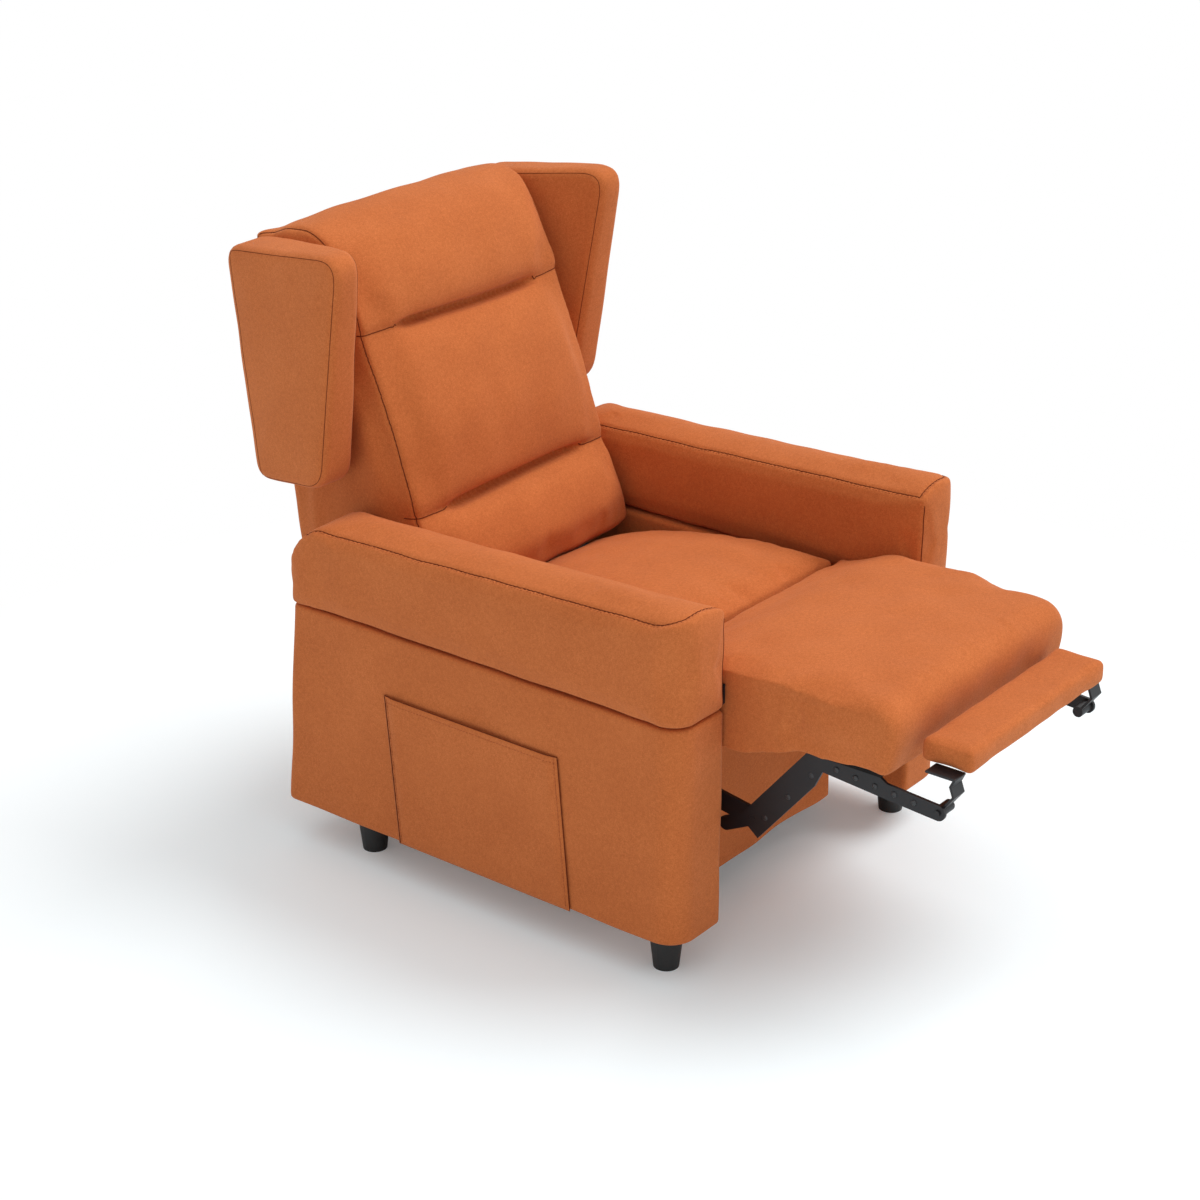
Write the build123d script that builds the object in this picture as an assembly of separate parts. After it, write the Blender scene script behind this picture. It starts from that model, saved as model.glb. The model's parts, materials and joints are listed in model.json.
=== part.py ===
from build123d import *
import os
from math import atan2, cos, degrees, hypot, radians, sin, sqrt

# Winged lift recliner, in millimetres, with its leg rest out and its back upright.
# X runs across the chair (right arm at -X), Y from front to rear, Z up from the floor.

# Driving sizes: the arms
overall_width = 800.0
arm_width = 125.0
arm_front_y = -407.0
arm_rear_y = 402.0
arm_foot_rake = 32.0
floor_gap = 72.0
arm_seam_z = 451.0
pad_front_z = 622.0
pad_rear_z = 594.0
pad_crown = 15.0
pad_side_swell = 3.0
pad_rear_radius = 110.0
panel_inset = 8.0
arm_front_flat = 61.0
arm_inner_corner = 10.0
arm_rear_corner = 16.0

# Driving sizes: the pocket on the right arm
pocket_front_y = -181.0
pocket_rear_y = 183.0
pocket_top_z = 341.0
pocket_slant = 12.0
pocket_depth = 6.0
pocket_cloth = 2.0
pocket_seam = 12.0
pocket_lift = 1.0

# Driving sizes: the feet
foot_top_radius = 29.0
foot_bottom_radius = 21.0
foot_front_y = -341.0
foot_rear_y = 285.0

# Driving sizes: sheet metal, tubes and fits
plate_thickness = 4.0
plate_rim = 20.0
knee_rim = 16.0
link_thickness = 5.0
layer_gap = 1.0
link_width = 34.0
tube_radius = 12.5
tube_wall = 2.0
pin_radius = 6.0
trunnion_reach = 20.0
running_clearance = 0.05
weld_clearance = 0.02
open_gap = 0.4
soft_gap = 0.4

# Driving sizes: the lift base
rail_width = 30.0
rail_height = 25.0
glide_height = 10.0
glide_radius = 14.0
base_front_y = -230.0
base_rear_y = 345.0
base_tube = 25.0
front_bracket_foot = 28.0
rear_bracket_foot = 40.0

# Driving sizes: pivots of the lift linkage, as (y, z)
front_lift_base = (-150.0, 75.0)
front_lift_seat = (150.0, 110.0)
rear_lift_base = (14.0, 160.0)
rear_lift_seat = (300.0, 140.0)
tie_share = 0.25

# Driving sizes: cross tubes of the chassis, as (y, z)
front_tube = (-10.0, 222.0)
rear_tube = (234.0, 292.0)

# Driving sizes: pivots of the back and the leg rest, as (y, z)
back_pivot = (378.0, 330.0)
knee_pivot = (-385.0, 475.0)
bar_pivot = (-542.0, 388.0)
plate_run = (117.0, -143.0)

# Driving sizes: motor pivots as (y, z), with each motor's place across the chair
lift_motor_x = 80.0
leg_motor_x = -80.0
back_motor_x = 0.0
lift_motor_base = (332.0, 75.0)
lift_motor_tip = (-40.0, 200.0)
leg_motor_base = (200.0, 285.0)
back_motor_base = (25.0, 215.0)
back_motor_tip = (418.0, 235.0)
leg_lever = 75.0
lift_travel = 192.0
leg_travel = 75.0
back_travel = 68.0
eye_radius = 11.0
eye_width = 12.0
ear_margin = 4.0
eye_pin_radius = 5.0
rod_radius = 9.0
motor_tube_radius = 15.0
motor_radius = 20.0
motor_length = 80.0
gearbox_length = 70.0
gearbox_side = 46.0
gearbox_corner = 6.0
motor_sink = 4.0
rod_engagement = 25.0
rod_end_room = 36.0
rod_flat = 32.0

# Driving sizes: seat frame and seat
seat_frame_top = 376.0
seat_rail_height = 22.0
seat_rail_width = 30.0
seat_rail_front_y = -298.0
seat_rail_rear_y = 250.0
tube_room = 10.0
webbing_thickness = 2.0
webbing_width = 60.0
webbing_count = 6
seat_front_y = -258.0
seat_rear_y = 232.0
seat_front_z = 488.0
seat_rear_z = 405.0
seat_bow = 42.0
seat_side_drop = 13.0
cushion_side_gap = 13.0
cushion_draw = 5.0
shoulder_place = 0.62
shoulder_fall = 0.3

# Driving sizes: knee and leg-rest cushions
leg_half_height = 56.0
knee_rear_z = 496.0
knee_bow = 8.0
knee_relief_y = -299.0
leg_side_drop = 16.0
leg_front_y = -697.0
leg_nose_radius = 48.0
nose_swell = 5.0
leg_bow = 3.0
leg_board_thickness = 12.0
leg_board_front_y = -670.0
leg_board_rear_y = -411.0
leg_board_inset = 14.0

# Driving sizes: leg-rest linkage
leg_bar_inset = 44.0
leg_bar_height = 26.0
foot_pivot = (-760.0, 370.0)
crank_elbow = (-350.0, 257.0)
crank_tail = (-370.0, 217.0)
crank_tail_width = 24.0
crank_hub = 8.0
push_plate_above = 18.0
push_plate_below = 28.0
push_plate_end = 16.0
push_plate_shoulder = 40.0
knee_flange_width = 60.0
knee_flange_front_y = -475.0
knee_flange_rear_y = -415.0

# Driving sizes: foot pad
foot_pad_inset = 20.0
foot_pad_front_y = -799.0
foot_pad_rear_y = -714.0
foot_pad_bottom_z = 431.0
foot_pad_height = 32.0
foot_pad_crown = 4.0
foot_pad_end_radius = 14.0
foot_bracket_width = 30.0
foot_bracket_thickness = 4.0
strip_knuckle = 9.0
strip_bend = (22.0, 30.0)
strip_waist = (16.0, 46.0)
strip_seat = 20.0
bolt_stand = 3.0

# Driving sizes: the back, in its own leaning plane (u forward of the rear face, v up along it)
back_lean = 6.8
back_foot = (482.0, 330.0)
back_side_gap = 15.0
back_height = 712.0
back_drop = 20.0
rear_cover_thickness = 8.0
post_depth = 30.0
post_width = 30.0
back_rail_height = 40.0
channel_low = (282.0, 236.0)
channel_high = (218.0, 537.0)
lumbar_foot = (323.0, 73.0)
head_front = (150.0, 706.0)
lumbar_bulge = 24.0
middle_bulge = 20.0
head_bulge = 16.0
crest_bulge = 18.0
side_swell = 0.6
side_groove = 0.25
channel_depth = 13.0
channel_width = 26.0
back_side_drop = 16.0

# Driving sizes: the wings, in the back's leaning plane
wing_thickness = 60.0
wing_bottom_v = 302.0
wing_top_v = 700.0
wing_top_fall = 2.0
wing_front_low_u = 167.0
wing_front_high_u = 277.0
wing_root_u = 55.0
wing_flare = 50.0
wing_high_corner = 38.0
wing_low_corner = 26.0
wing_swell = 5.0
wing_nose = 15.0
wing_root_swell = 25.0

# Driving sizes: apron and rear panel
apron_front_y = -300.0
apron_thickness = 18.0
apron_half_width = 190.0
panel_bottom_z = 70.0
rear_panel_top_z = 205.0
rear_panel_thickness = 12.0

# Driving sizes: arm bolts as (y, z), and the control box
arm_bolts = [(-190.0, 300.0), (-100.0, 290.0), (60.0, 270.0), (260.0, 240.0)]
bolt_radius = 4.0
bolt_head_radius = 7.0
bolt_head_height = 5.0
bolt_depth = 25.0
box_size = (120.0, 50.0, 40.0)
box_side_gap = 36.0
box_corner = 5.0
inlet_size = (28.0, 6.0, 20.0)

# Layers across the chair, from the arm's inner face towards the middle
half_width = overall_width / 2
arm_inner_x = half_width - arm_width
arm_outer_corner = arm_width - panel_inset - arm_front_flat - arm_inner_corner
plate_inner_x = arm_inner_x - plate_thickness
outer_link_x = plate_inner_x - layer_gap
outer_link_in = outer_link_x - link_thickness
inner_link_x = outer_link_in - layer_gap
inner_link_in = inner_link_x - link_thickness
post_plate_x = inner_link_in - layer_gap
rail_outer_x = inner_link_x
rail_inner_x = rail_outer_x - rail_width
leg_bar_x = arm_inner_x - leg_bar_inset
leg_bar_in = leg_bar_x - link_thickness
push_plate_x = leg_bar_in - layer_gap
push_plate_in = push_plate_x - link_thickness
crank_x = push_plate_in - layer_gap
crank_in = crank_x - link_thickness
foot_pad_half = leg_bar_in - foot_pad_inset
cushion_half = arm_inner_x - cushion_side_gap
back_half = arm_inner_x - back_side_gap

# Points that follow from the driving sizes
push_pivot = (bar_pivot[0] + plate_run[0], bar_pivot[1] + plate_run[1])
crank_pivot = (knee_pivot[0] + plate_run[0], knee_pivot[1] + plate_run[1])
leg_motor_tip = (crank_pivot[0], crank_pivot[1] - leg_lever)
leg_bottom_z = knee_pivot[1] - leg_half_height
leg_top_z = knee_pivot[1] + leg_half_height
leg_board_bottom = leg_bottom_z - leg_board_thickness
cushion_bottom_z = seat_frame_top + webbing_thickness + soft_gap

nodes = {}


def side_plane(x):
    """Workplane facing +X at x, whose own axes are Y and Z."""
    return Plane(origin=(x, 0, 0), x_dir=(0, 1, 0), z_dir=(1, 0, 0))


def slab(x0, x1, y0, y1, z0, z1):
    """Rectangular block between two corners."""
    centre = Pos((x0 + x1) / 2, (y0 + y1) / 2, (z0 + z1) / 2)
    return centre * Box(abs(x1 - x0), abs(y1 - y0), abs(z1 - z0))


def plate(points, x0, x1):
    """Flat plate with a side outline of (y, z) points, from x0 to x1."""
    face = make_face(Polyline(*points, close=True))
    return extrude(side_plane(x0) * face, amount=x1 - x0)


def rod(point, radius, x0, x1):
    """Round bar across the chair at a (y, z) point."""
    return extrude(side_plane(x0) * Pos(*point) * Circle(radius), amount=x1 - x0)


def tube(point, radius, bore, x0, x1):
    """Round tube across the chair at a (y, z) point."""
    ring = Circle(radius) - Circle(bore)
    return extrude(side_plane(x0) * Pos(*point) * ring, amount=x1 - x0)


def strap_outline(start, end, width):
    """Outline of a round-ended link between two (y, z) points."""
    span = hypot(end[0] - start[0], end[1] - start[1])
    angle = degrees(atan2(end[1] - start[1], end[0] - start[0]))
    middle = Pos((start[0] + end[0]) / 2, (start[1] + end[1]) / 2)
    return middle * Rot(0, 0, angle) * SlotCenterToCenter(span, width)


def holed(outline, points, radius):
    """Outline with a round hole at each point."""
    for point in points:
        outline = outline - Pos(*point) * Circle(radius)
    return outline


def mirrored(shape):
    """The same shape on the other side of the chair."""
    return mirror(shape, about=Plane.YZ)


def add_pair(name, shape):
    """Left and right pieces, each in a node of its own."""
    nodes[name + "_left"] = shape
    nodes[name + "_right"] = mirrored(shape)


def group(shapes):
    """Separate solids that share one node."""
    return Compound(children=[solid for shape in shapes for solid in shape.solids()])


def pair_group(shape):
    """A solid and its mirror image in one node."""
    return group([shape, mirrored(shape)])


def profile_face(x, edges):
    """Closed side profile, set up at x."""
    return side_plane(x) * make_face(edges)


def bowed(start, end, bow):
    """Arc between two (y, z) points that rises by bow at its middle, to the left of the way it runs."""
    run = (end[0] - start[0], end[1] - start[1])
    span = hypot(*run)
    middle = ((start[0] + end[0]) / 2 - run[1] / span * bow, (start[1] + end[1]) / 2 + run[0] / span * bow)
    return ThreePointArc(start, middle, end)


def crown_stations(half, drop):
    """Places across a cushion, each with how far the top falls there."""
    shoulder = shoulder_place * half
    fall = shoulder_fall * drop
    return [(-half, drop), (-shoulder, fall), (0, 0), (shoulder, fall), (half, drop)]


def drawn_in(solid, half, y0, y1, z0, z1):
    """Pull the sides of a cushion in between its corners."""
    left = bowed((half, y0), (half, y1), cushion_draw)
    right = bowed((-half, y1), (-half, y0), cushion_draw)
    ends = [Line((-half, y0), (half, y0)), Line((half, y1), (-half, y1))]
    plan = make_face([ends[0], left, ends[1], right])
    return solid & extrude(Plane(origin=(0, 0, z0)) * plan, amount=z1 - z0)


# Lift base: rails, cross tubes, glides, pivot brackets, motor clevis and control box
rail_bottom = glide_height
rail_top = glide_height + rail_height
add_pair("base_rail", slab(rail_inner_x, rail_outer_x, base_front_y, base_rear_y, rail_bottom, rail_top))
tube_top = rail_bottom + base_tube
nodes["base_front_tube"] = slab(
    -rail_inner_x, rail_inner_x, base_front_y, base_front_y + base_tube, rail_bottom, tube_top
)
nodes["base_rear_tube"] = slab(
    -rail_inner_x, rail_inner_x, base_rear_y - base_tube, base_rear_y, rail_bottom, tube_top
)
glide_x = (rail_inner_x + rail_outer_x) / 2
glides = []
for glide_y in (base_front_y + rail_width, base_rear_y - rail_width):
    glides.append(Pos(glide_x, glide_y, glide_height / 2) * Cylinder(glide_radius, glide_height))
nodes["base_glides"] = group([pair_group(glide) for glide in glides])


def pivot_bracket(point, half_foot, x0, x1, pin_to):
    """Upright plate on a base rail with a pivot pin standing out of its outer face."""
    crown = link_width / 2
    foot = [(point[0] - half_foot, rail_top), (point[0] + half_foot, rail_top)]
    neck = [(point[0] + crown, point[1]), (point[0] - crown, point[1])]
    upright = plate(foot + neck, x0, x1) + rod(point, crown, x0, x1)
    return upright + rod(point, pin_radius, x1, pin_to)


front_bracket = pivot_bracket(
    front_lift_base, front_bracket_foot, inner_link_in, inner_link_x, outer_link_x
)
rear_bracket = pivot_bracket(
    rear_lift_base, rear_bracket_foot, post_plate_x - link_thickness, post_plate_x, inner_link_x
)
nodes["lift_pivot_brackets"] = group([pair_group(front_bracket), pair_group(rear_bracket)])

ear_out = eye_width / 2 + open_gap + link_thickness
ear_in = eye_width / 2 + open_gap


def clevis(point, root, width, x):
    """Two ears from a root point to a motor pivot, with the pin across them."""
    ears = []
    for x0, x1 in ((x - ear_out, x - ear_in), (x + ear_in, x + ear_out)):
        ears.append(extrude(side_plane(x0) * strap_outline(root, point, width), amount=x1 - x0))
    return ears[0] + ears[1] + rod(point, eye_pin_radius, x - ear_out, x + ear_out)


clevis_root = (lift_motor_base[0], tube_top)
base_clevis = clevis(lift_motor_base, clevis_root, 2 * eye_radius, lift_motor_x)
clevis_room = slab(-half_width, half_width, base_front_y, base_rear_y + half_width, 0, tube_top)
nodes["lift_motor_clevis"] = base_clevis - clevis_room

box_rear_y = base_rear_y
box_centre_x = box_side_gap + box_size[0] / 2 - rail_inner_x
box_body = slab(
    box_centre_x - box_size[0] / 2, box_centre_x + box_size[0] / 2,
    box_rear_y - box_size[1], box_rear_y, tube_top, tube_top + box_size[2],
)
box_edges = box_body.edges().filter_by(Axis.Z)
box_body = fillet(box_edges, box_corner)
inlet_z = tube_top + box_size[2] / 2
inlet_hole = slab(
    box_centre_x - inlet_size[0] / 2, box_centre_x + inlet_size[0] / 2,
    box_rear_y - inlet_size[1], box_rear_y, inlet_z - inlet_size[2] / 2, inlet_z + inlet_size[2] / 2,
)
nodes["control_box"] = box_body - inlet_hole

# Lift linkage: front links with their tie tube, and rear links
hole_radius = pin_radius + running_clearance
tie_point = (
    front_lift_base[0] + tie_share * (front_lift_seat[0] - front_lift_base[0]),
    front_lift_base[1] + tie_share * (front_lift_seat[1] - front_lift_base[1]),
)
front_strap = strap_outline(front_lift_base, front_lift_seat, link_width)
front_outline = holed(front_strap, [front_lift_base, front_lift_seat], hole_radius)
front_link = extrude(side_plane(outer_link_in) * front_outline, amount=link_thickness)
add_pair("front_lift_link", front_link)
nodes["lift_tie_tube"] = tube(
    tie_point, tube_radius, tube_radius - tube_wall, -outer_link_in, outer_link_in
)
rear_outline = holed(strap_outline(rear_lift_base, rear_lift_seat, link_width), [rear_lift_base], hole_radius)
rear_link = extrude(side_plane(inner_link_in) * rear_outline, amount=link_thickness)
nodes["rear_lift_links"] = pair_group(rear_link)

# Chassis: side plates, cross tubes, pins and motor ears
rim = plate_rim
plate_outline = [
    (crank_pivot[0] - rim, crank_pivot[1] - rim),
    (crank_pivot[0] + 2 * rim, crank_pivot[1] - 3 * rim),
    (front_tube[0] - rim, front_tube[1] - 1.5 * rim),
    (front_lift_seat[0] - 1.5 * rim, front_tube[1] - 1.5 * rim),
    (front_lift_seat[0] - rim, front_lift_seat[1] - rim),
    (front_lift_seat[0] + rim, front_lift_seat[1] - rim),
    (rear_lift_seat[0] - rim, rear_lift_seat[1] - rim),
    (rear_lift_seat[0] + rim, rear_lift_seat[1] - rim),
    (back_pivot[0] + rim, back_pivot[1] - rim),
    (back_pivot[0] + rim, back_pivot[1] + rim),
    (back_pivot[0] - rim, back_pivot[1] + rim),
    (seat_rail_rear_y, seat_frame_top),
    (seat_rail_front_y, seat_frame_top),
    (knee_pivot[0] + knee_rim, knee_pivot[1] + knee_rim),
    (knee_pivot[0] - knee_rim, knee_pivot[1] + knee_rim),
    (knee_pivot[0] - knee_rim, knee_pivot[1] - knee_rim),
]
pin_fit = pin_radius + weld_clearance
plate_holes = [rod(p, pin_fit, plate_inner_x, arm_inner_x) for p in (front_lift_seat, back_pivot, knee_pivot)]
trunnion_radius = tube_radius - tube_wall - running_clearance
plate_holes.append(rod(crank_pivot, trunnion_radius + weld_clearance, plate_inner_x, arm_inner_x))
for bolt in arm_bolts:
    plate_holes.append(rod(bolt, bolt_radius + weld_clearance, plate_inner_x, arm_inner_x))
side_plate = plate(plate_outline, plate_inner_x, arm_inner_x)
for hole in plate_holes:
    side_plate = side_plate - hole
add_pair("chassis_plate", side_plate)

nodes["chassis_front_tube"] = tube(
    front_tube, tube_radius, tube_radius - tube_wall, -plate_inner_x, plate_inner_x
)
nodes["chassis_rear_tube"] = tube(
    rear_tube, tube_radius, tube_radius - tube_wall, -plate_inner_x, plate_inner_x
)

pins = [
    rod(front_lift_seat, pin_radius, outer_link_in, arm_inner_x),
    rod(back_pivot, pin_radius, back_half, arm_inner_x),
    rod(knee_pivot, pin_radius, outer_link_in, arm_inner_x),
    rod(crank_pivot, trunnion_radius, plate_inner_x - trunnion_reach, arm_inner_x),
    rod(rear_lift_seat, 2 * pin_radius, inner_link_x + open_gap, plate_inner_x),
]
nodes["chassis_pins"] = group([pair_group(pin) for pin in pins])

front_tube_room = rod(front_tube, tube_radius + weld_clearance, -half_width, half_width)
rear_tube_room = rod(rear_tube, tube_radius + weld_clearance, -half_width, half_width)
ear_width = 2 * eye_radius
lift_ear_x = lift_motor_x + ear_in
lift_ear_outline = strap_outline(front_tube, lift_motor_tip, ear_width + 2 * ear_margin)
lift_ear = extrude(side_plane(lift_ear_x) * lift_ear_outline, amount=link_thickness)
back_ears = clevis(back_motor_base, front_tube, ear_width + 2 * ear_margin, back_motor_x)
leg_ears = clevis(leg_motor_base, rear_tube, ear_width + 2 * ear_margin, leg_motor_x)
front_ears = [lift_ear - front_tube_room, back_ears - front_tube_room]
nodes["motor_ears"] = group(front_ears + [leg_ears - rear_tube_room])

# Seat frame: wooden rails and webbing
rail_z0 = seat_frame_top - seat_rail_height
side_rail_front_y = crank_pivot[0] + tube_radius + tube_room
side_rail_rear_y = seat_rail_rear_y - seat_rail_width
side_rail_in = plate_inner_x - seat_rail_width
side_rail = slab(side_rail_in, plate_inner_x, side_rail_front_y, side_rail_rear_y, rail_z0, seat_frame_top)
nodes["seat_side_rails"] = pair_group(side_rail)
front_rail_rear_y = seat_rail_front_y + seat_rail_height
nodes["seat_front_rail"] = slab(
    -plate_inner_x, plate_inner_x, seat_rail_front_y, front_rail_rear_y, rail_z0, seat_frame_top
)
nodes["seat_rear_rail"] = slab(
    -plate_inner_x, plate_inner_x, side_rail_rear_y, seat_rail_rear_y, rail_z0, seat_frame_top
)
webbing_pitch = (seat_rail_rear_y - seat_rail_front_y) / (webbing_count + 1)
straps = []
for index in range(webbing_count):
    strap_y = seat_rail_front_y + webbing_pitch * (index + 1)
    straps.append(slab(
        -plate_inner_x, plate_inner_x, strap_y - webbing_width / 2, strap_y + webbing_width / 2,
        seat_frame_top, seat_frame_top + webbing_thickness,
    ))
nodes["seat_webbing"] = group(straps)


# Seat cushion: crowned both ways, its sides drawn in
def seat_profile(drop):
    front_top = (seat_front_y + soft_gap, seat_front_z - drop)
    rear_top = (seat_rear_y, seat_rear_z - drop)
    front_bottom = (front_top[0], cushion_bottom_z)
    rear_bottom = (seat_rear_y, cushion_bottom_z)
    top = bowed(front_top, rear_top, seat_bow - drop)
    return [top, Line(rear_top, rear_bottom), Line(rear_bottom, front_bottom), Line(front_bottom, front_top)]


seat_stations = crown_stations(cushion_half, seat_side_drop)
seat_sections = [profile_face(x, seat_profile(drop)) for x, drop in seat_stations]
nodes["seat_cushion"] = drawn_in(
    loft(seat_sections), cushion_half, seat_front_y, seat_rear_y, cushion_bottom_z, seat_front_z + seat_bow
)


# Knee cushion: its front is hollowed round the knee pivot so that the leg rest can turn in it
hollow_radius = leg_half_height + soft_gap + layer_gap


def knee_profile(drop):
    rise = hollow_radius - drop
    lip = (knee_pivot[0] + sqrt(hollow_radius ** 2 - rise ** 2), knee_pivot[1] + rise)
    half_turn = (atan2(lip[1] - knee_pivot[1], lip[0] - knee_pivot[0])) / 2
    middle = (knee_pivot[0] + hollow_radius * cos(half_turn), knee_pivot[1] + hollow_radius * sin(half_turn))
    heel = (knee_pivot[0] + hollow_radius, knee_pivot[1])
    shelf = (knee_relief_y, knee_pivot[1])
    front_bottom = (knee_relief_y, cushion_bottom_z)
    rear_bottom = (seat_front_y - soft_gap, cushion_bottom_z)
    rear_top = (rear_bottom[0], knee_rear_z - drop)
    return [
        ThreePointArc(lip, middle, heel), Line(heel, shelf), Line(shelf, front_bottom),
        Line(front_bottom, rear_bottom), Line(rear_bottom, rear_top), bowed(rear_top, lip, -knee_bow),
    ]


leg_stations = crown_stations(cushion_half, leg_side_drop)
knee_sections = [profile_face(x, knee_profile(drop)) for x, drop in leg_stations]
nodes["knee_cushion"] = loft(knee_sections)


# Leg-rest cushion: round at the knee, rounded nose, crowned top
def leg_profile(drop):
    top_z = leg_top_z - drop
    round_radius = (top_z - leg_bottom_z) / 2
    round_z = leg_bottom_z + round_radius
    knee_bottom = (knee_pivot[0], leg_bottom_z)
    knee_heel = (knee_pivot[0] + round_radius, round_z)
    knee_top = (knee_pivot[0], top_z)
    slant = sqrt(0.5)
    lower = (knee_pivot[0] + round_radius * slant, round_z - round_radius * slant)
    upper = (knee_pivot[0] + round_radius * slant, round_z + round_radius * slant)
    nose_top = (leg_front_y + leg_nose_radius, top_z)
    nose_tip = (leg_front_y, top_z - leg_nose_radius)
    nose_middle = (
        leg_front_y + leg_nose_radius * (1 - slant), top_z - leg_nose_radius * (1 - slant),
    )
    nose_bottom = (leg_front_y + leg_nose_radius / 2, leg_bottom_z)
    return [
        ThreePointArc(knee_bottom, lower, knee_heel), ThreePointArc(knee_heel, upper, knee_top),
        bowed(knee_top, nose_top, -leg_bow), ThreePointArc(nose_top, nose_middle, nose_tip),
        bowed(nose_tip, nose_bottom, nose_swell), Line(nose_bottom, knee_bottom),
    ]


leg_sections = [profile_face(x, leg_profile(drop)) for x, drop in leg_stations]
leg_rear_y = knee_pivot[0] + leg_half_height
nodes["leg_rest_cushion"] = drawn_in(
    loft(leg_sections), cushion_half, leg_front_y, leg_rear_y, leg_bottom_z, leg_top_z + leg_half_height
)

# Leg-rest board, bars, knee hinges and foot brackets
board_half = cushion_half - leg_board_inset
nodes["leg_rest_board"] = slab(
    -board_half, board_half, leg_board_front_y, leg_board_rear_y, leg_board_bottom, leg_bottom_z - soft_gap
)
bar_half = leg_bar_height / 2
bar_heel_y = bar_pivot[0] + bar_half
bar_step_y = leg_board_front_y + leg_bar_height
bar_points = [
    (bar_heel_y, leg_board_bottom), (bar_heel_y, bar_pivot[1] - bar_half),
    (leg_board_front_y, foot_pivot[1] - bar_half / 2), (foot_pivot[0], foot_pivot[1] - bar_half),
    (foot_pivot[0], foot_pivot[1] + bar_half), (leg_board_front_y, foot_pivot[1] + 1.5 * bar_half),
    (bar_step_y, leg_board_bottom),
]
bar_hole = rod(foot_pivot, eye_pin_radius + weld_clearance, leg_bar_in, leg_bar_x)
leg_bar = plate(bar_points, leg_bar_in, leg_bar_x) + rod(foot_pivot, bar_half, leg_bar_in, leg_bar_x)
leg_bar = leg_bar - bar_hole
bar_stud = rod(bar_pivot, pin_radius, push_plate_in - layer_gap / 2, leg_bar_in)
nodes["leg_rest_bars"] = pair_group(leg_bar + bar_stud)

knee_upright = plate(
    [
        (knee_pivot[0] + knee_rim, knee_pivot[1]), (knee_pivot[0] - knee_rim, knee_pivot[1]),
        (knee_flange_front_y, leg_board_bottom), (knee_flange_front_y, leg_board_bottom - link_thickness),
        (knee_flange_rear_y, leg_board_bottom - link_thickness),
    ],
    outer_link_in, outer_link_x,
)
knee_upright = knee_upright + rod(knee_pivot, knee_rim, outer_link_in, outer_link_x)
knee_upright = knee_upright - rod(knee_pivot, hole_radius, outer_link_in, outer_link_x)
knee_flange = slab(
    outer_link_x - knee_flange_width, outer_link_in, knee_flange_front_y, knee_flange_rear_y,
    leg_board_bottom - link_thickness, leg_board_bottom,
)
nodes["knee_hinges"] = pair_group(knee_upright + knee_flange)

strip_top_z = foot_pad_bottom_z - foot_bracket_thickness / 2
strip_points = [
    foot_pivot,
    (foot_pivot[0] - strip_bend[0], foot_pivot[1] + strip_bend[1]),
    (foot_pivot[0] - strip_waist[0], foot_pivot[1] + strip_waist[1]),
    (foot_pivot[0] - strip_bend[0], strip_top_z),
    (foot_pad_rear_y - strip_seat, strip_top_z),
]
strip_x0 = leg_bar_in - foot_bracket_width
strip = rod(foot_pivot, strip_knuckle, strip_x0, leg_bar_in)
for start, end in zip(strip_points[:-1], strip_points[1:]):
    strip = strip + extrude(
        side_plane(strip_x0) * strap_outline(start, end, foot_bracket_thickness), amount=foot_bracket_width
    )
strip = strip + rod(foot_pivot, eye_pin_radius, leg_bar_in, leg_bar_x + bolt_stand)
nodes["foot_brackets"] = pair_group(strip)


# Foot pad: a slim crowned cushion with rounded ends
def pad_profile(drop):
    r = foot_pad_end_radius
    top = foot_pad_bottom_z + foot_pad_height - drop
    low = foot_pad_bottom_z + soft_gap
    slant = r * (1 - sqrt(0.5))
    front_top = (foot_pad_front_y + r, top)
    rear_top = (foot_pad_rear_y - r, top)
    front_side = (foot_pad_front_y, top - r)
    rear_side = (foot_pad_rear_y, top - r)
    front_low = (foot_pad_front_y + r / 2, low)
    rear_low = (foot_pad_rear_y - r / 2, low)
    return [
        bowed(front_top, rear_top, foot_pad_crown),
        ThreePointArc(rear_top, (foot_pad_rear_y - slant, top - slant), rear_side), Line(rear_side, rear_low),
        Line(rear_low, front_low), Line(front_low, front_side),
        ThreePointArc(front_side, (foot_pad_front_y + slant, top - slant), front_top),
    ]


foot_stations = crown_stations(foot_pad_half, foot_pad_crown)
foot_sections = [profile_face(x, pad_profile(drop)) for x, drop in foot_stations]
nodes["foot_pad"] = loft(foot_sections)

# Leg-rest linkage: bent cranks on a torque tube with the motor lever, and wide push plates
crank_outline = strap_outline(crank_pivot, crank_elbow, link_width)
crank_outline = crank_outline + strap_outline(crank_elbow, push_pivot, link_width)
crank_outline = crank_outline + strap_outline(push_pivot, crank_tail, crank_tail_width)
crank_outline = crank_outline + Pos(*crank_pivot) * Circle(tube_radius + crank_hub)
crank_outline = holed(crank_outline, [crank_pivot], tube_radius + weld_clearance)
crank = extrude(side_plane(crank_in) * crank_outline, amount=link_thickness)
crank_stud = rod(push_pivot, pin_radius, crank_x, push_plate_x + layer_gap / 2)
add_pair("leg_crank", crank + crank_stud)

lever_x = leg_motor_x + ear_in
lever_outline = strap_outline(crank_pivot, leg_motor_tip, ear_width)
lever = extrude(side_plane(lever_x) * lever_outline, amount=link_thickness)
crank_bore = tube_radius - tube_wall
torque_tube = rod(crank_pivot, tube_radius, -outer_link_x, outer_link_x) + lever
nodes["crank_tube"] = torque_tube - rod(crank_pivot, crank_bore, -half_width, half_width)

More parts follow.
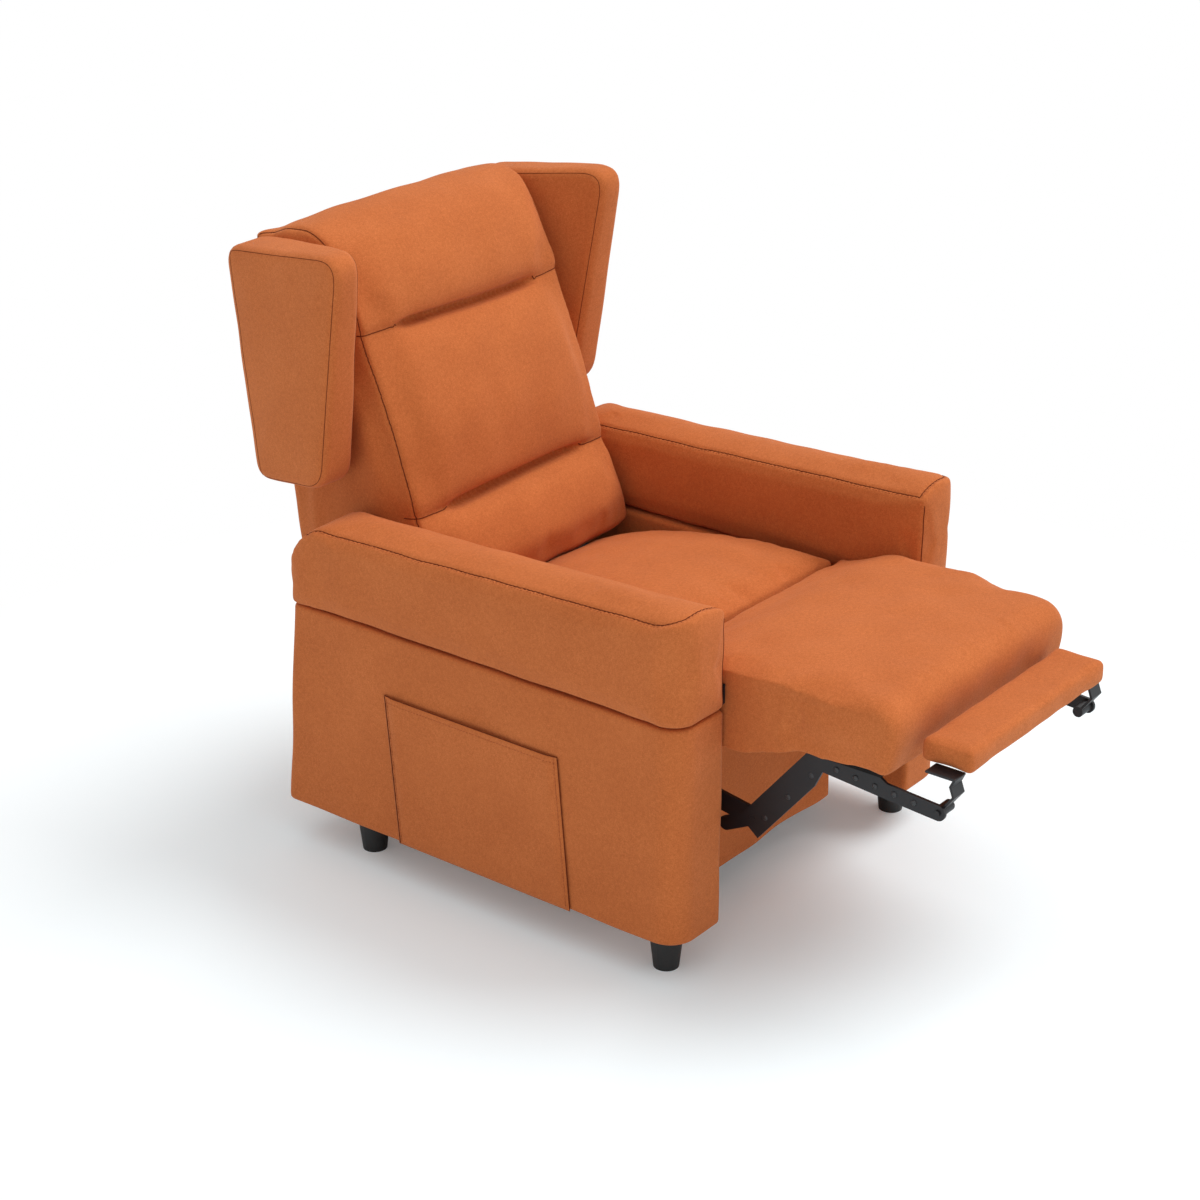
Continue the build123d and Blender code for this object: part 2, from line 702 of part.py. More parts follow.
plate_angle = degrees(atan2(plate_run[1], plate_run[0]))
plate_end = hypot(*plate_run) + push_plate_end
push_outline = make_face(Polyline(
    (0, push_plate_above), (plate_end, push_plate_above), (plate_end, -push_plate_below),
    (push_plate_shoulder, -push_plate_below), (0, -push_plate_above), close=True,
))
push_outline = push_outline + Circle(push_plate_above)
push_outline = Pos(*bar_pivot) * Rot(0, 0, plate_angle) * push_outline
push_outline = holed(push_outline, [bar_pivot], hole_radius)
push_outline = holed(push_outline, [push_pivot], pin_radius + open_gap)
add_pair("push_plate", extrude(side_plane(push_plate_in) * push_outline, amount=link_thickness))


# Arms: panel, pad, pocket, feet and bolts
def arm_plan(x0, x1, y0, y1):
    """Plan of an arm: round at its front, square at its rear."""
    slant = 1 - sqrt(0.5)
    out = arm_outer_corner
    inn = arm_inner_corner
    back = arm_rear_corner
    return make_face([
        Line((x0 + inn, y0), (x1 - out, y0)),
        ThreePointArc((x1 - out, y0), (x1 - out * slant, y0 + out * slant), (x1, y0 + out)),
        Line((x1, y0 + out), (x1, y1 - back)),
        ThreePointArc((x1, y1 - back), (x1 - back * slant, y1 - back * slant), (x1 - back, y1)),
        Line((x1 - back, y1), (x0, y1)),
        Line((x0, y1), (x0, y0 + inn)),
        ThreePointArc((x0, y0 + inn), (x0 + inn * slant, y0 + inn * slant), (x0 + inn, y0)),
    ])


panel_outer_x = half_width - panel_inset
panel_front_y = arm_front_y + panel_inset / 2
low_plan = arm_plan(arm_inner_x, panel_outer_x, panel_front_y, arm_rear_y + arm_foot_rake)
high_plan = arm_plan(arm_inner_x, panel_outer_x, panel_front_y, arm_rear_y)
panel_low = Plane(origin=(0, 0, floor_gap)) * low_plan
panel_high = Plane(origin=(0, 0, arm_seam_z)) * high_plan
arm_panel = loft([panel_low, panel_high], ruled=True)
for bolt in arm_bolts:
    arm_panel = arm_panel - rod(bolt, bolt_radius + weld_clearance, arm_inner_x, arm_inner_x + bolt_depth)
add_pair("arm_panel", arm_panel)

pad_middle_x = (arm_inner_x + half_width) / 2
pad_length = arm_rear_y - arm_front_y
pad_rise = pad_rear_z - pad_front_z
pad_edge = arm_width / 2 - pad_side_swell
pad_seam = arm_seam_z - pad_front_z
pad_skirt = pad_seam - pad_length
section = make_face([
    bowed((pad_edge, 0), (-pad_edge, 0), -pad_crown),
    bowed((-pad_edge, 0), (-pad_edge, pad_seam), -pad_side_swell),
    Line((-pad_edge, pad_seam), (-pad_edge, pad_skirt)),
    Line((-pad_edge, pad_skirt), (pad_edge, pad_skirt)),
    Line((pad_edge, pad_skirt), (pad_edge, pad_seam)),
    bowed((pad_edge, pad_seam), (pad_edge, 0), -pad_side_swell),
])
pad_start = (pad_middle_x, arm_front_y - pad_length, pad_front_z - pad_rise)
pad_plane = Plane(origin=pad_start, x_dir=(-1, 0, 0), z_dir=(0, pad_length, pad_rise))
pad_bar = extrude(pad_plane * section, amount=3 * pad_length)
pad_plan = arm_plan(arm_inner_x, half_width, arm_front_y, arm_rear_y)
pad_block = extrude(Plane(origin=(0, 0, arm_seam_z)) * pad_plan, amount=half_width)
slant_corner = pad_rear_radius * (1 - sqrt(0.5))
pad_rear_top = pad_rear_z + pad_crown
pad_sky = pad_front_z + half_width
pad_nose_y = arm_front_y - pad_rear_radius
pad_bend_y = arm_rear_y - pad_rear_radius
pad_side = make_face([
    Line((pad_bend_y, pad_rear_top), (pad_nose_y, pad_sky)),
    Line((pad_nose_y, pad_sky), (pad_nose_y, arm_seam_z)),
    Line((pad_nose_y, arm_seam_z), (arm_rear_y, arm_seam_z)),
    Line((arm_rear_y, arm_seam_z), (arm_rear_y, pad_rear_top - pad_rear_radius)),
    ThreePointArc(
        (arm_rear_y, pad_rear_top - pad_rear_radius),
        (arm_rear_y - slant_corner, pad_rear_top - slant_corner),
        (pad_bend_y, pad_rear_top),
    ),
])
pad_profile_block = extrude(side_plane(arm_inner_x) * pad_side, amount=arm_width)
add_pair("arm_pad", pad_bar & pad_block & pad_profile_block)


def pocket_outline(inset, top):
    """Slanted pocket outline in (y, z), drawn in by inset on its three sewn sides."""
    rear = pocket_rear_y - inset
    front = pocket_front_y + inset
    low = floor_gap + pocket_lift + inset
    return [
        (rear + pocket_slant, top), (rear - pocket_slant, low),
        (front - pocket_slant, low), (front + pocket_slant, top),
    ]


pocket_cloth_x = panel_outer_x + pocket_depth
patch = plate(pocket_outline(0, pocket_top_z), -pocket_cloth_x - pocket_cloth, -panel_outer_x)
pouch = plate(pocket_outline(pocket_seam, pocket_top_z + pocket_seam), -pocket_cloth_x, -panel_outer_x)
nodes["side_pocket"] = patch - pouch

feet = []
foot_x = (arm_inner_x + panel_outer_x) / 2
for foot_y in (foot_front_y, foot_rear_y):
    foot = Pos(foot_x, foot_y, floor_gap / 2) * Cone(foot_bottom_radius, foot_top_radius, floor_gap)
    feet.append(pair_group(foot))
nodes["arm_feet"] = group(feet)

bolts = []
for bolt in arm_bolts:
    shank = rod(bolt, bolt_radius, plate_inner_x, arm_inner_x + bolt_depth - 1)
    head = rod(bolt, bolt_head_radius, plate_inner_x - bolt_head_height, plate_inner_x)
    bolts.append(pair_group(shank + head))
nodes["arm_bolts"] = group(bolts)

# Apron and rear panel
apron_rear_y = apron_front_y + apron_thickness
nodes["front_apron"] = slab(
    -apron_half_width, apron_half_width, apron_front_y, apron_rear_y, panel_bottom_z, rail_z0
)
nodes["rear_panel"] = slab(
    -arm_inner_x, arm_inner_x, arm_rear_y - rear_panel_thickness, arm_rear_y, panel_bottom_z, rear_panel_top_z
)

# The back, built in its own leaning plane and then set up
lean = radians(back_lean)


def back_point(u, v):
    """(y, z) of a point u forward of the back's rear face and v up along it."""
    return (
        back_foot[0] + v * sin(lean) - u * cos(lean),
        back_foot[1] + v * cos(lean) + u * sin(lean),
    )


def back_block(x0, x1, u0, u1, v0, v1):
    """Block in the back's leaning plane."""
    corners = [back_point(u0, v0), back_point(u1, v0), back_point(u1, v1), back_point(u0, v1)]
    return plate(corners, x0, x1)


frame_front_u = rear_cover_thickness + post_depth
post_inner_x = back_half - post_width
frame_top_v = back_height - back_rail_height
nodes["rear_cover"] = back_block(-back_half, back_half, 0, rear_cover_thickness, -back_drop, back_height)
post = back_block(post_inner_x, back_half, rear_cover_thickness, frame_front_u, -back_drop, frame_top_v)
nodes["back_posts"] = pair_group(post)
top_rail_v = frame_top_v - back_rail_height
nodes["back_top_rail"] = back_block(
    -post_inner_x, post_inner_x, rear_cover_thickness, frame_front_u, top_rail_v, frame_top_v
)
nodes["back_bottom_rail"] = back_block(
    -post_inner_x, post_inner_x, rear_cover_thickness, frame_front_u, -back_drop, back_rail_height - back_drop
)
webbing_front_u = frame_front_u + webbing_thickness
back_pitch = (frame_top_v - back_rail_height) / webbing_count
back_straps = []
for index in range(webbing_count):
    strap_low_v = back_pitch * (index + 0.5) + back_rail_height / 2 - webbing_width / 2
    back_straps.append(back_block(
        -back_half, back_half, frame_front_u, webbing_front_u, strap_low_v, strap_low_v + webbing_width
    ))
nodes["back_webbing"] = group(back_straps)


# Back cushion: lumbar, middle and head rolls divided by two sewn channels
def back_profile(drop):
    rear_u = webbing_front_u + soft_gap
    fade = 1 - (1 - side_groove) * drop / back_side_drop
    groove = channel_depth * fade
    half = channel_width / 2
    low_in = (channel_low[0] - groove - drop, channel_low[1])
    low_under = (channel_low[0] - drop, channel_low[1] - half)
    low_over = (channel_low[0] - drop, channel_low[1] + half)
    high_in = (channel_high[0] - groove - drop, channel_high[1])
    high_under = (channel_high[0] - drop, channel_high[1] - half)
    high_over = (channel_high[0] - drop, channel_high[1] + half)
    foot_front = (lumbar_foot[0] - drop, lumbar_foot[1])
    foot_rear = (rear_u, lumbar_foot[1] - back_drop)
    top_front = (head_front[0] - drop, head_front[1] - 0.5 * drop)
    top_rear = (rear_u, back_height - 0.5 * drop)
    swell = 1 - (1 - side_swell) * drop / back_side_drop
    walk = [foot_front, low_under, low_in, low_over, high_under, high_in, high_over]
    walk = walk + [top_front, top_rear, foot_rear]
    rolls = [lumbar_bulge, 0, 0, middle_bulge, 0, 0, head_bulge, crest_bulge, 0, 0]
    bows = [roll * swell for roll in rolls]
    edges = []
    for index, start in enumerate(walk):
        end = walk[(index + 1) % len(walk)]
        first = back_point(*start)
        last = back_point(*end)
        if bows[index]:
            edges.append(bowed(first, last, bows[index]))
        else:
            edges.append(Line(first, last))
    return edges


back_stations = crown_stations(back_half, back_side_drop)
back_sections = [profile_face(x, back_profile(drop)) for x, drop in back_stations]
nodes["back_cushion"] = loft(back_sections)

# Wings: flared slabs on the sides of the back
wing_plan_points = [
    (back_half + soft_gap, 0), (back_half + soft_gap, wing_root_u),
    (back_half + wing_flare, wing_front_high_u), (back_half + wing_flare + wing_thickness, wing_front_high_u),
]
wing_outer_root = (back_half + wing_thickness + wing_root_swell, 0)
wing_plan = make_face([
    Line(wing_plan_points[0], wing_plan_points[1]), Line(wing_plan_points[1], wing_plan_points[2]),
    bowed(wing_plan_points[2], wing_plan_points[3], wing_nose),
    bowed(wing_plan_points[3], wing_outer_root, wing_swell), Line(wing_outer_root, wing_plan_points[0]),
])
back_origin = (0, back_foot[0], back_foot[1])
back_up = Vector(0, sin(lean), cos(lean))
plan_plane = Plane(origin=back_origin, x_dir=(1, 0, 0), z_dir=-back_up)
wing_bar = extrude(plan_plane * wing_plan, amount=-2 * back_height)
wing_outline = make_face(Polyline(
    (0, wing_bottom_v), (wing_front_low_u, wing_bottom_v), (wing_front_high_u, wing_top_v - wing_top_fall),
    (0, wing_top_v), close=True,
))
wing_outline = fillet(wing_outline.vertices().sort_by(Axis.X)[-1], wing_high_corner)
low_corners = wing_outline.vertices().sort_by(Axis.Y)[:2]
wing_outline = fillet(low_corners.sort_by(Axis.X)[-1], wing_low_corner)
wing_face_plane = Plane(origin=back_origin, x_dir=(0, -cos(lean), sin(lean)), z_dir=(-1, 0, 0))
wing_slab = extrude(wing_face_plane * wing_outline, amount=-2 * half_width)
add_pair("wing", wing_bar & wing_slab)

# Back hinge plates and motor lug
hinge_u = (back_foot[0] - back_pivot[0]) * cos(lean) + (back_pivot[1] - back_foot[1]) * sin(lean)
hinge_v = (back_pivot[0] - back_foot[0]) * sin(lean) + (back_pivot[1] - back_foot[1]) * cos(lean)
hinge_points = [
    back_point(rear_cover_thickness, -back_drop), back_point(frame_front_u, -back_drop),
    back_point(hinge_u - knee_rim, hinge_v - knee_rim), back_point(hinge_u + knee_rim, hinge_v - knee_rim),
    back_point(hinge_u + knee_rim, hinge_v + knee_rim),
    back_point(frame_front_u, back_rail_height + back_drop),
    back_point(rear_cover_thickness, back_rail_height + back_drop),
]
hinge_plate = plate(hinge_points, back_half, back_half + link_thickness)
hinge_plate = hinge_plate - rod(back_pivot, hole_radius, back_half, back_half + link_thickness)
nodes["back_hinge_plates"] = pair_group(hinge_plate)

lug_root = back_point((rear_cover_thickness + frame_front_u) / 2, 0)
lug_x = back_motor_x + ear_in
lug_outline = strap_outline(lug_root, back_motor_tip, ear_width + 2 * ear_margin)
lug = extrude(side_plane(lug_x) * lug_outline, amount=link_thickness)
rail_room = back_block(-half_width, half_width, -half_width, half_width, -back_drop, back_height)
nodes["back_motor_lug"] = lug - rail_room


# Motors: a housing with gearbox, motor and outer tube, and a rod that slides in the tube
def motor(base, tip, x, travel_out, travel_in, motor_side):
    span = hypot(tip[0] - base[0], tip[1] - base[1])
    along = (0, tip[0] - base[0], tip[1] - base[1])
    frame = Plane(origin=(x, base[0], base[1]), x_dir=along, z_dir=(1, 0, 0))
    tube_end = span - travel_in - rod_end_room
    rod_inner = tube_end - travel_out - rod_engagement
    bore_end = rod_inner - travel_in - link_thickness
    gearbox_start = eye_radius + link_thickness
    gearbox_end = gearbox_start + gearbox_length
    neck = Pos(gearbox_start / 2, 0, 0) * Box(gearbox_start, eye_radius, eye_width)
    eye = Cylinder(eye_radius, eye_width) + neck
    gearbox = Pos(gearbox_start + gearbox_length / 2, 0, 0) * Box(gearbox_length, gearbox_side, gearbox_side)
    gearbox = fillet(gearbox.edges().filter_by(Axis.X), gearbox_corner)
    can_offset = motor_side * (gearbox_side / 2 + motor_radius - motor_sink)
    can = Pos(gearbox_start, can_offset, 0) * Rot(0, 90, 0)
    can = can * Cylinder(motor_radius, motor_length, align=(Align.CENTER, Align.CENTER, Align.MIN))
    sleeve = Pos(gearbox_end, 0, 0) * Rot(0, 90, 0)
    sleeve = sleeve * Cylinder(
        motor_tube_radius, tube_end - gearbox_end, align=(Align.CENTER, Align.CENTER, Align.MIN)
    )
    bore = Pos(bore_end, 0, 0) * Rot(0, 90, 0) * Cylinder(
        rod_radius + running_clearance, span, align=(Align.CENTER, Align.CENTER, Align.MIN)
    )
    housing = eye + gearbox + can + sleeve - bore
    housing = housing - Cylinder(eye_pin_radius + running_clearance, 2 * eye_width)
    shaft = Pos(rod_inner, 0, 0) * Rot(0, 90, 0) * Cylinder(
        rod_radius, span - rod_inner, align=(Align.CENTER, Align.CENTER, Align.MIN)
    )
    end_eye = Pos(span, 0, 0) * Cylinder(eye_radius, eye_width)
    shaft = shaft + end_eye
    for side in (-1, 1):
        cheek = Pos(span, 0, side * (eye_width + rod_radius) / 2)
        shaft = shaft - cheek * Box(2 * rod_flat, 2 * rod_flat, rod_radius)
    return frame * housing, frame * shaft


motors = {
    "lift": (lift_motor_base, lift_motor_tip, lift_motor_x, lift_travel, 0, -1),
    "leg_rest": (leg_motor_base, leg_motor_tip, leg_motor_x, 0, leg_travel, 1),
    "back": (back_motor_base, back_motor_tip, back_motor_x, 0, back_travel, -1),
}
for name, facts in motors.items():
    housing, shaft = motor(*facts)
    nodes[name + "_motor"] = housing
    nodes[name + "_motor_rod"] = shaft

# The origin is on the floor, under the middle of the whole chair
boxes = [shape.bounding_box() for shape in nodes.values()]
origin_y = (min(box.min.Y for box in boxes) + max(box.max.Y for box in boxes)) / 2

os.makedirs("parts", exist_ok=True)
for name, shape in nodes.items():
    export_step(Pos(0, -origin_y, 0) * shape, "parts/" + name + ".step")
print(len(nodes), "nodes, origin at y", round(origin_y, 3))
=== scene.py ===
import json
import math

import bmesh
import bpy
import numpy as np
from mathutils import Matrix, Vector
from mathutils.bvhtree import BVHTree


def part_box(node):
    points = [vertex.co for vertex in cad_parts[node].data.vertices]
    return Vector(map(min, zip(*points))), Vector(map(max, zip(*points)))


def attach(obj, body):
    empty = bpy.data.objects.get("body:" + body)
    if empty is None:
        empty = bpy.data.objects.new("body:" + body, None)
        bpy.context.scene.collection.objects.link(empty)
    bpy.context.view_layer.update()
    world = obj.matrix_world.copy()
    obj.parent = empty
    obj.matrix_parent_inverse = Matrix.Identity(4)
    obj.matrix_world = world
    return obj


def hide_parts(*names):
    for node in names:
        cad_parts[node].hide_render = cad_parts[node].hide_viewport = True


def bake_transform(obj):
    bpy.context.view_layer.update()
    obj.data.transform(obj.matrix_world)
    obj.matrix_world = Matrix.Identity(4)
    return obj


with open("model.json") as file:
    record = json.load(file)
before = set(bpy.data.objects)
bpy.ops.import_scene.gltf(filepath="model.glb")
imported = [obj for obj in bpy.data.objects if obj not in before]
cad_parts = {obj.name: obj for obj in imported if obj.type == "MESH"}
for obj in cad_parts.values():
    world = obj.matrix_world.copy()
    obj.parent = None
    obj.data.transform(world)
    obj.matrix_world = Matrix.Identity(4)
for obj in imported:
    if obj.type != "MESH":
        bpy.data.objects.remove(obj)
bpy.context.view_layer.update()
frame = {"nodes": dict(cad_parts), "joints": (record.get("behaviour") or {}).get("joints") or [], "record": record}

# The looks of a winged lift recliner, in metres: +X to the sitter's left, +Y to the back, +Z up.
scene = bpy.context.scene

# Places that the looks share with the frame
knee = Vector(next(j for j in frame["joints"] if j["name"] == "leg_rest_turn")["pos_m"])
back_hinge = Vector(next(j for j in frame["joints"] if j["name"] == "back_recline")["pos_m"])
back_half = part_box("back_cushion")[1].x
pad_low, pad_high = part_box("arm_pad_left")
panel_low, panel_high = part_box("arm_panel_left")
pocket_low, pocket_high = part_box("side_pocket")
seat_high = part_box("seat_cushion")[1]
rail_low, rail_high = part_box("seat_rear_rail")
foot_rail_low, foot_rail_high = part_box("back_bottom_rail")
leg_low, leg_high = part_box("leg_rest_cushion")
foot_low, foot_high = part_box("foot_pad")

# Fabric, thread, and cords of painted shade. A stitch is given by places along it and its thickness there, as
# shares.
cloth = 0.0022
weave_pitch = 0.0017
thread_radius = 0.00055
thread_sides = 6
shade_cord_radius = 0.0009
stitch_pitch = 0.0062
stitch_length = 0.0044
stitch_lift = 0.3
stitch_shape = ((-0.5, 0.35), (-0.3, 1.0), (0.3, 1.0), (0.5, 0.35))
path_step = 0.004
groove_batch = 4000

# Filling of the covers
cover_voxel = 0.006
foot_voxel = 0.004
fill_pressure = 4.0
fill_frames = 20

# Back: u is the depth forward of its rear face, v the height up along that face
back_lean = math.radians(6.8)
back_foot = Vector((0, back_hinge.y + 0.104, back_hinge.z))
core_u = (-0.010, 0.080)
core_v = (-0.026, 0.702)
channels = (0.236, 0.537)
channel_fill = (0.014, 0.008)
channel_spread = 0.05
channel_end = 0.006
channel_wander = 0.003
channel_half = 0.165
channel_fade = 0.012
crest_u, crest_v = 0.08, 0.60
crest_lift = 0.009
edge_seam_v = 0.085
edge_in = 0.03

# Wings, in the same u and v
wing_low_v, wing_high_v = 0.300, 0.702
wing_low_u, wing_high_u = 0.174, 0.286
wing_radii = (0.032, 0.045, 0.055, 0.036)
wing_edge = 0.018
wing_gap = 0.0004
wing_thick = 0.085
wing_flare_u = 0.055
wing_inner_flare = 0.226
wing_outer_flare = 0.090
wing_bow = 0.004
wing_swell = 0.004
wing_seam_u = 0.012

# Arms and side pocket
arm_front_radius = 0.046
arm_rear_radius = 0.016
arm_corner = 0.004
panel_edge = 0.007
panel_rear_slope = 0.032
panel_inner_radius = 0.005
pad_inner_radius = 0.010
pad_forward = 0.0035
pad_rim = 0.011
pad_end = 0.03
lean_y = 0.012
pocket_gap = 0.0012
mouth_gap = 0.0052

# Closing cloth between the seat and the back
closing_front = Vector((seat_high.x, rail_low.y + 0.016, rail_high.z + 0.003))
closing_rear = Vector((foot_rail_high.x - 0.002, foot_rail_low.y - 0.001, foot_rail_high.z - 0.006))
closing_sag = 0.010

# Leg rest and foot pad
leg_half = leg_high.x + 0.001
cover_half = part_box("knee_hinges")[1].x + 0.0007
cover_spare = 0.009
leg_top = leg_high.z - 0.003
leg_base = leg_low.z - 0.006
leg_nose_y = leg_low.y - 0.006
leg_nose_radius = 0.040
leg_toe = 0.012
leg_crease_y = knee.y + 0.126
leg_relief_y = knee.y + 0.084
leg_flat_y = knee.y - 0.02
leg_narrow_y = knee.y - 0.125
leg_under_y = knee.y - 0.15
leg_crease = 0.040
leg_crown = 0.004
leg_relief = 0.034
leg_camber = 0.010
leg_corner = 0.008
foot_spare = Vector((0, 0.004, 0.003))
foot_edge = 0.009

# Rivets, by shares of the length of the steel piece that they sit on
rivet_radius = 0.0048
rivet_sides = 20
rivet_dome = ((1.0, -0.3), (1.0, 0.35), (0.78, 0.8), (0.35, 1.0))
plate_rivets = (0.22, 0.52, 0.82)
plate_rivet_drop = -0.012
plate_rivet_tall = 0.0007
bar_rivets = (0.22, 0.36, 0.50, 0.64, 0.78)
bar_rivet_tall = 0.0022

# Apron and rear panel
apron_wave = 0.004
hem_sway, hem_start, hem_share = 21, 0.6, 0.6
hem_lift = 34

# Floor
floor_size = 40
floor_tint = (0.865, 0.945, 0.975)
floor_lift = 0.13
floor_near, floor_far = 0.75, 1.7


# Mesh helpers
def link(name, mesh):
    piece = bpy.data.objects.new(name, mesh)
    scene.collection.objects.link(piece)
    return piece


def new_piece(name, points, faces):
    mesh = bpy.data.meshes.new(name)
    mesh.from_pydata([tuple(p) for p in points], [], [tuple(f) for f in faces])
    mesh.update()
    return link(name, mesh)


def from_nodes(name, *nodes):
    """A loose copy of CAD nodes as one new piece."""
    bm = bmesh.new()
    for node in nodes:
        bm.from_mesh(frame["nodes"][node].data)
    bmesh.ops.remove_doubles(bm, verts=bm.verts, dist=1e-6)
    mesh = bpy.data.meshes.new(name)
    bm.to_mesh(mesh)
    bm.free()
    return link(name, mesh)


def joined(name, *pieces):
    """Several pieces put into one mesh, and the originals removed."""
    bm = bmesh.new()
    for piece in pieces:
        bm.from_mesh(piece.data)
        bpy.data.objects.remove(piece)
    mesh = bpy.data.meshes.new(name)
    bm.to_mesh(mesh)
    bm.free()
    return link(name, mesh)


def coords(piece):
    flat = np.empty(len(piece.data.vertices) * 3, np.float64)
    piece.data.vertices.foreach_get("co", flat)
    return flat.reshape(-1, 3)


def set_coords(piece, points):
    piece.data.vertices.foreach_set("co", np.ascontiguousarray(points, np.float32).ravel())
    piece.data.update()


def normals(piece):
    flat = np.empty(len(piece.data.vertices) * 3, np.float32)
    piece.data.vertices.foreach_get("normal", flat)
    return flat.reshape(-1, 3).astype(np.float64)


def applied(piece):
    """Bake the piece's modifiers into its mesh."""
    seen = piece.evaluated_get(bpy.context.evaluated_depsgraph_get())
    mesh = bpy.data.meshes.new_from_object(seen)
    mesh.name = piece.name
    piece.modifiers.clear()
    piece.data = mesh
    return piece


def remeshed(piece, voxel=cover_voxel):
    """Even mesh over the same form."""
    remesh = piece.modifiers.new("Even", "REMESH")
    remesh.mode = "VOXEL"
    remesh.voxel_size = voxel
    return applied(piece)


def subdivided(piece):
    piece.modifiers.new("Fine", "SUBSURF").levels = 1
    return applied(piece)


def bevelled(piece, width, segments):
    """Rounded edges wherever faces meet at an angle."""
    bevel = piece.modifiers.new("Edge", "BEVEL")
    bevel.width = width
    bevel.segments = segments
    bevel.limit_method = "ANGLE"
    return applied(piece)


def relaxed(piece, rounds, share=0.5):
    """Round edges off by moving each point towards its neighbours."""
    ends = np.empty(len(piece.data.edges) * 2, np.int64)
    piece.data.edges.foreach_get("vertices", ends)
    a, b = ends.reshape(-1, 2).T
    points = coords(piece)
    count = np.bincount(np.concatenate([a, b]), minlength=len(points))[:, None]
    for _ in range(rounds):
        total = np.zeros_like(points)
        np.add.at(total, a, points[b])
        np.add.at(total, b, points[a])
        points = points + share * (total / count - points)
    set_coords(piece, points)
    return piece


def inflated(piece, cap):
    """Let the cover swell as filled cloth does, by cap at most."""
    start = coords(piece)
    fill = piece.modifiers.new("Fill", "CLOTH")
    fill.settings.quality = 4
    fill.settings.use_pressure = True
    fill.settings.uniform_pressure_force = fill_pressure
    fill.settings.effector_weights.gravity = 0
    for number in range(1, fill_frames + 1):
        scene.frame_set(number)
    seen = piece.evaluated_get(bpy.context.evaluated_depsgraph_get())
    flat = np.empty(len(start) * 3, np.float64)
    seen.data.vertices.foreach_get("co", flat)
    piece.modifiers.clear()
    move = flat.reshape(-1, 3) - start
    reach = np.linalg.norm(move, axis=1, keepdims=True)
    held = cap * np.tanh(reach / cap)
    set_coords(piece, start + move / np.maximum(reach, 1e-9) * held)
    scene.frame_set(1)
    return piece


def waves(points, size, seed):
    """Smooth uneven field about one high, made of a few crossed waves."""
    random = np.random.default_rng(seed)
    field = np.zeros(len(points))
    for _ in range(8):
        run = random.normal(size=3)
        run *= 2 * math.pi / size * random.uniform(0.6, 1.5) / np.linalg.norm(run)
        field += np.sin(points @ run + random.uniform(0, 2 * math.pi))
    return field / 3


def rumpled(piece, size, height, seed):
    """Shallow unevenness, as taut upholstery has."""
    points = coords(piece)
    set_coords(piece, points + normals(piece) * (height * waves(points, size, seed))[:, None])
    return piece


def pressed(piece, half):
    """Flatten the sides of a piece against its neighbours, half a width from the middle."""
    points = coords(piece)
    points[:, 0] = np.clip(points[:, 0], -half, half)
    set_coords(piece, points)
    return piece


def mirrored(piece, name):
    """The same piece on the other side of the chair."""
    mesh = piece.data.copy()
    mesh.name = name
    twin = link(name, mesh)
    set_coords(twin, coords(twin) * np.array([-1, 1, 1]))
    mesh.flip_normals()
    return twin


def lofted(name, rings):
    """Closed skin over rings of as many points each, with a flat cap at both ends."""
    count = len(rings[0])
    points = [p for ring in rings for p in ring]
    faces = [tuple(range(count))[::-1], tuple(range(len(points) - count, len(points)))]
    for base in range(0, len(points) - count, count):
        for i in range(count):
            j = (i + 1) % count
            faces.append((base + i, base + j, base + count + j, base + count + i))
    piece = new_piece(name, points, faces)
    bm = bmesh.new()
    bm.from_mesh(piece.data)
    bmesh.ops.recalc_face_normals(bm, faces=bm.faces)
    bm.to_mesh(piece.data)
    bm.free()
    return piece


def sheeted(name, spot, columns, rows, depths=(0.0, cloth)):
    """Two faces with a rim between them. spot gives a place across, up and at each face's depth."""
    places = [(c / columns, r / rows) for r in range(rows + 1) for c in range(columns + 1)]
    points = [spot(across, up, depth) for depth in depths for across, up in places]
    layer = len(places)
    faces = []
    for r in range(rows):
        for c in range(columns):
            k = r * (columns + 1) + c
            quad = (k, k + 1, k + columns + 2, k + columns + 1)
            faces.append(quad)
            faces.append(tuple(layer + i for i in reversed(quad)))
    loop = list(range(columns + 1))
    loop += [r * (columns + 1) + columns for r in range(1, rows + 1)]
    loop += [rows * (columns + 1) + c for c in range(columns - 1, -1, -1)]
    loop += [r * (columns + 1) for r in range(rows - 1, 0, -1)]
    for i, k in enumerate(loop):
        j = loop[(i + 1) % len(loop)]
        faces.append((j, k, layer + k, layer + j))
    return new_piece(name, points, faces)


def shaded(piece, material, body):
    """Finish a piece: smooth shading, its material, and the body that it moves with."""
    piece.data.materials.clear()
    piece.data.materials.append(material)
    piece.data.polygons.foreach_set("use_smooth", [True] * len(piece.data.polygons))
    if body:
        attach(piece, body)
    return piece


# Shares, outlines and runs of points
def eased(value, start=0.0, run=1.0):
    """Smooth step from nought to one, over a run from a start."""
    share = np.clip((value - start) / run, 0, 1)
    return 3 * share ** 2 - 2 * share ** 3


def between(start, end, share):
    return start + (end - start) * share


def inset(outline, amount):
    """Outline drawn in by an amount."""
    ahead = np.roll(outline, -1, axis=0) - np.roll(outline, 1, axis=0)
    ahead /= np.linalg.norm(ahead, axis=1, keepdims=True)
    return outline + amount * np.stack([-ahead[:, 1], ahead[:, 0]], axis=1)


def rounded(corners, radii):
    """Closed run of points along straight lines with rounded corners."""
    run = [Vector(c) for c in corners]
    points = []
    for i, (here, radius) in enumerate(zip(run, radii)):
        start = here + (run[i - 1] - here).normalized() * radius
        end = here + (run[(i + 1) % len(run)] - here).normalized() * radius
        for t in np.linspace(0, 1, 9):
            points.append(start * (1 - t) ** 2 + here * 2 * t * (1 - t) + end * t ** 2)
    return points + [points[0]]


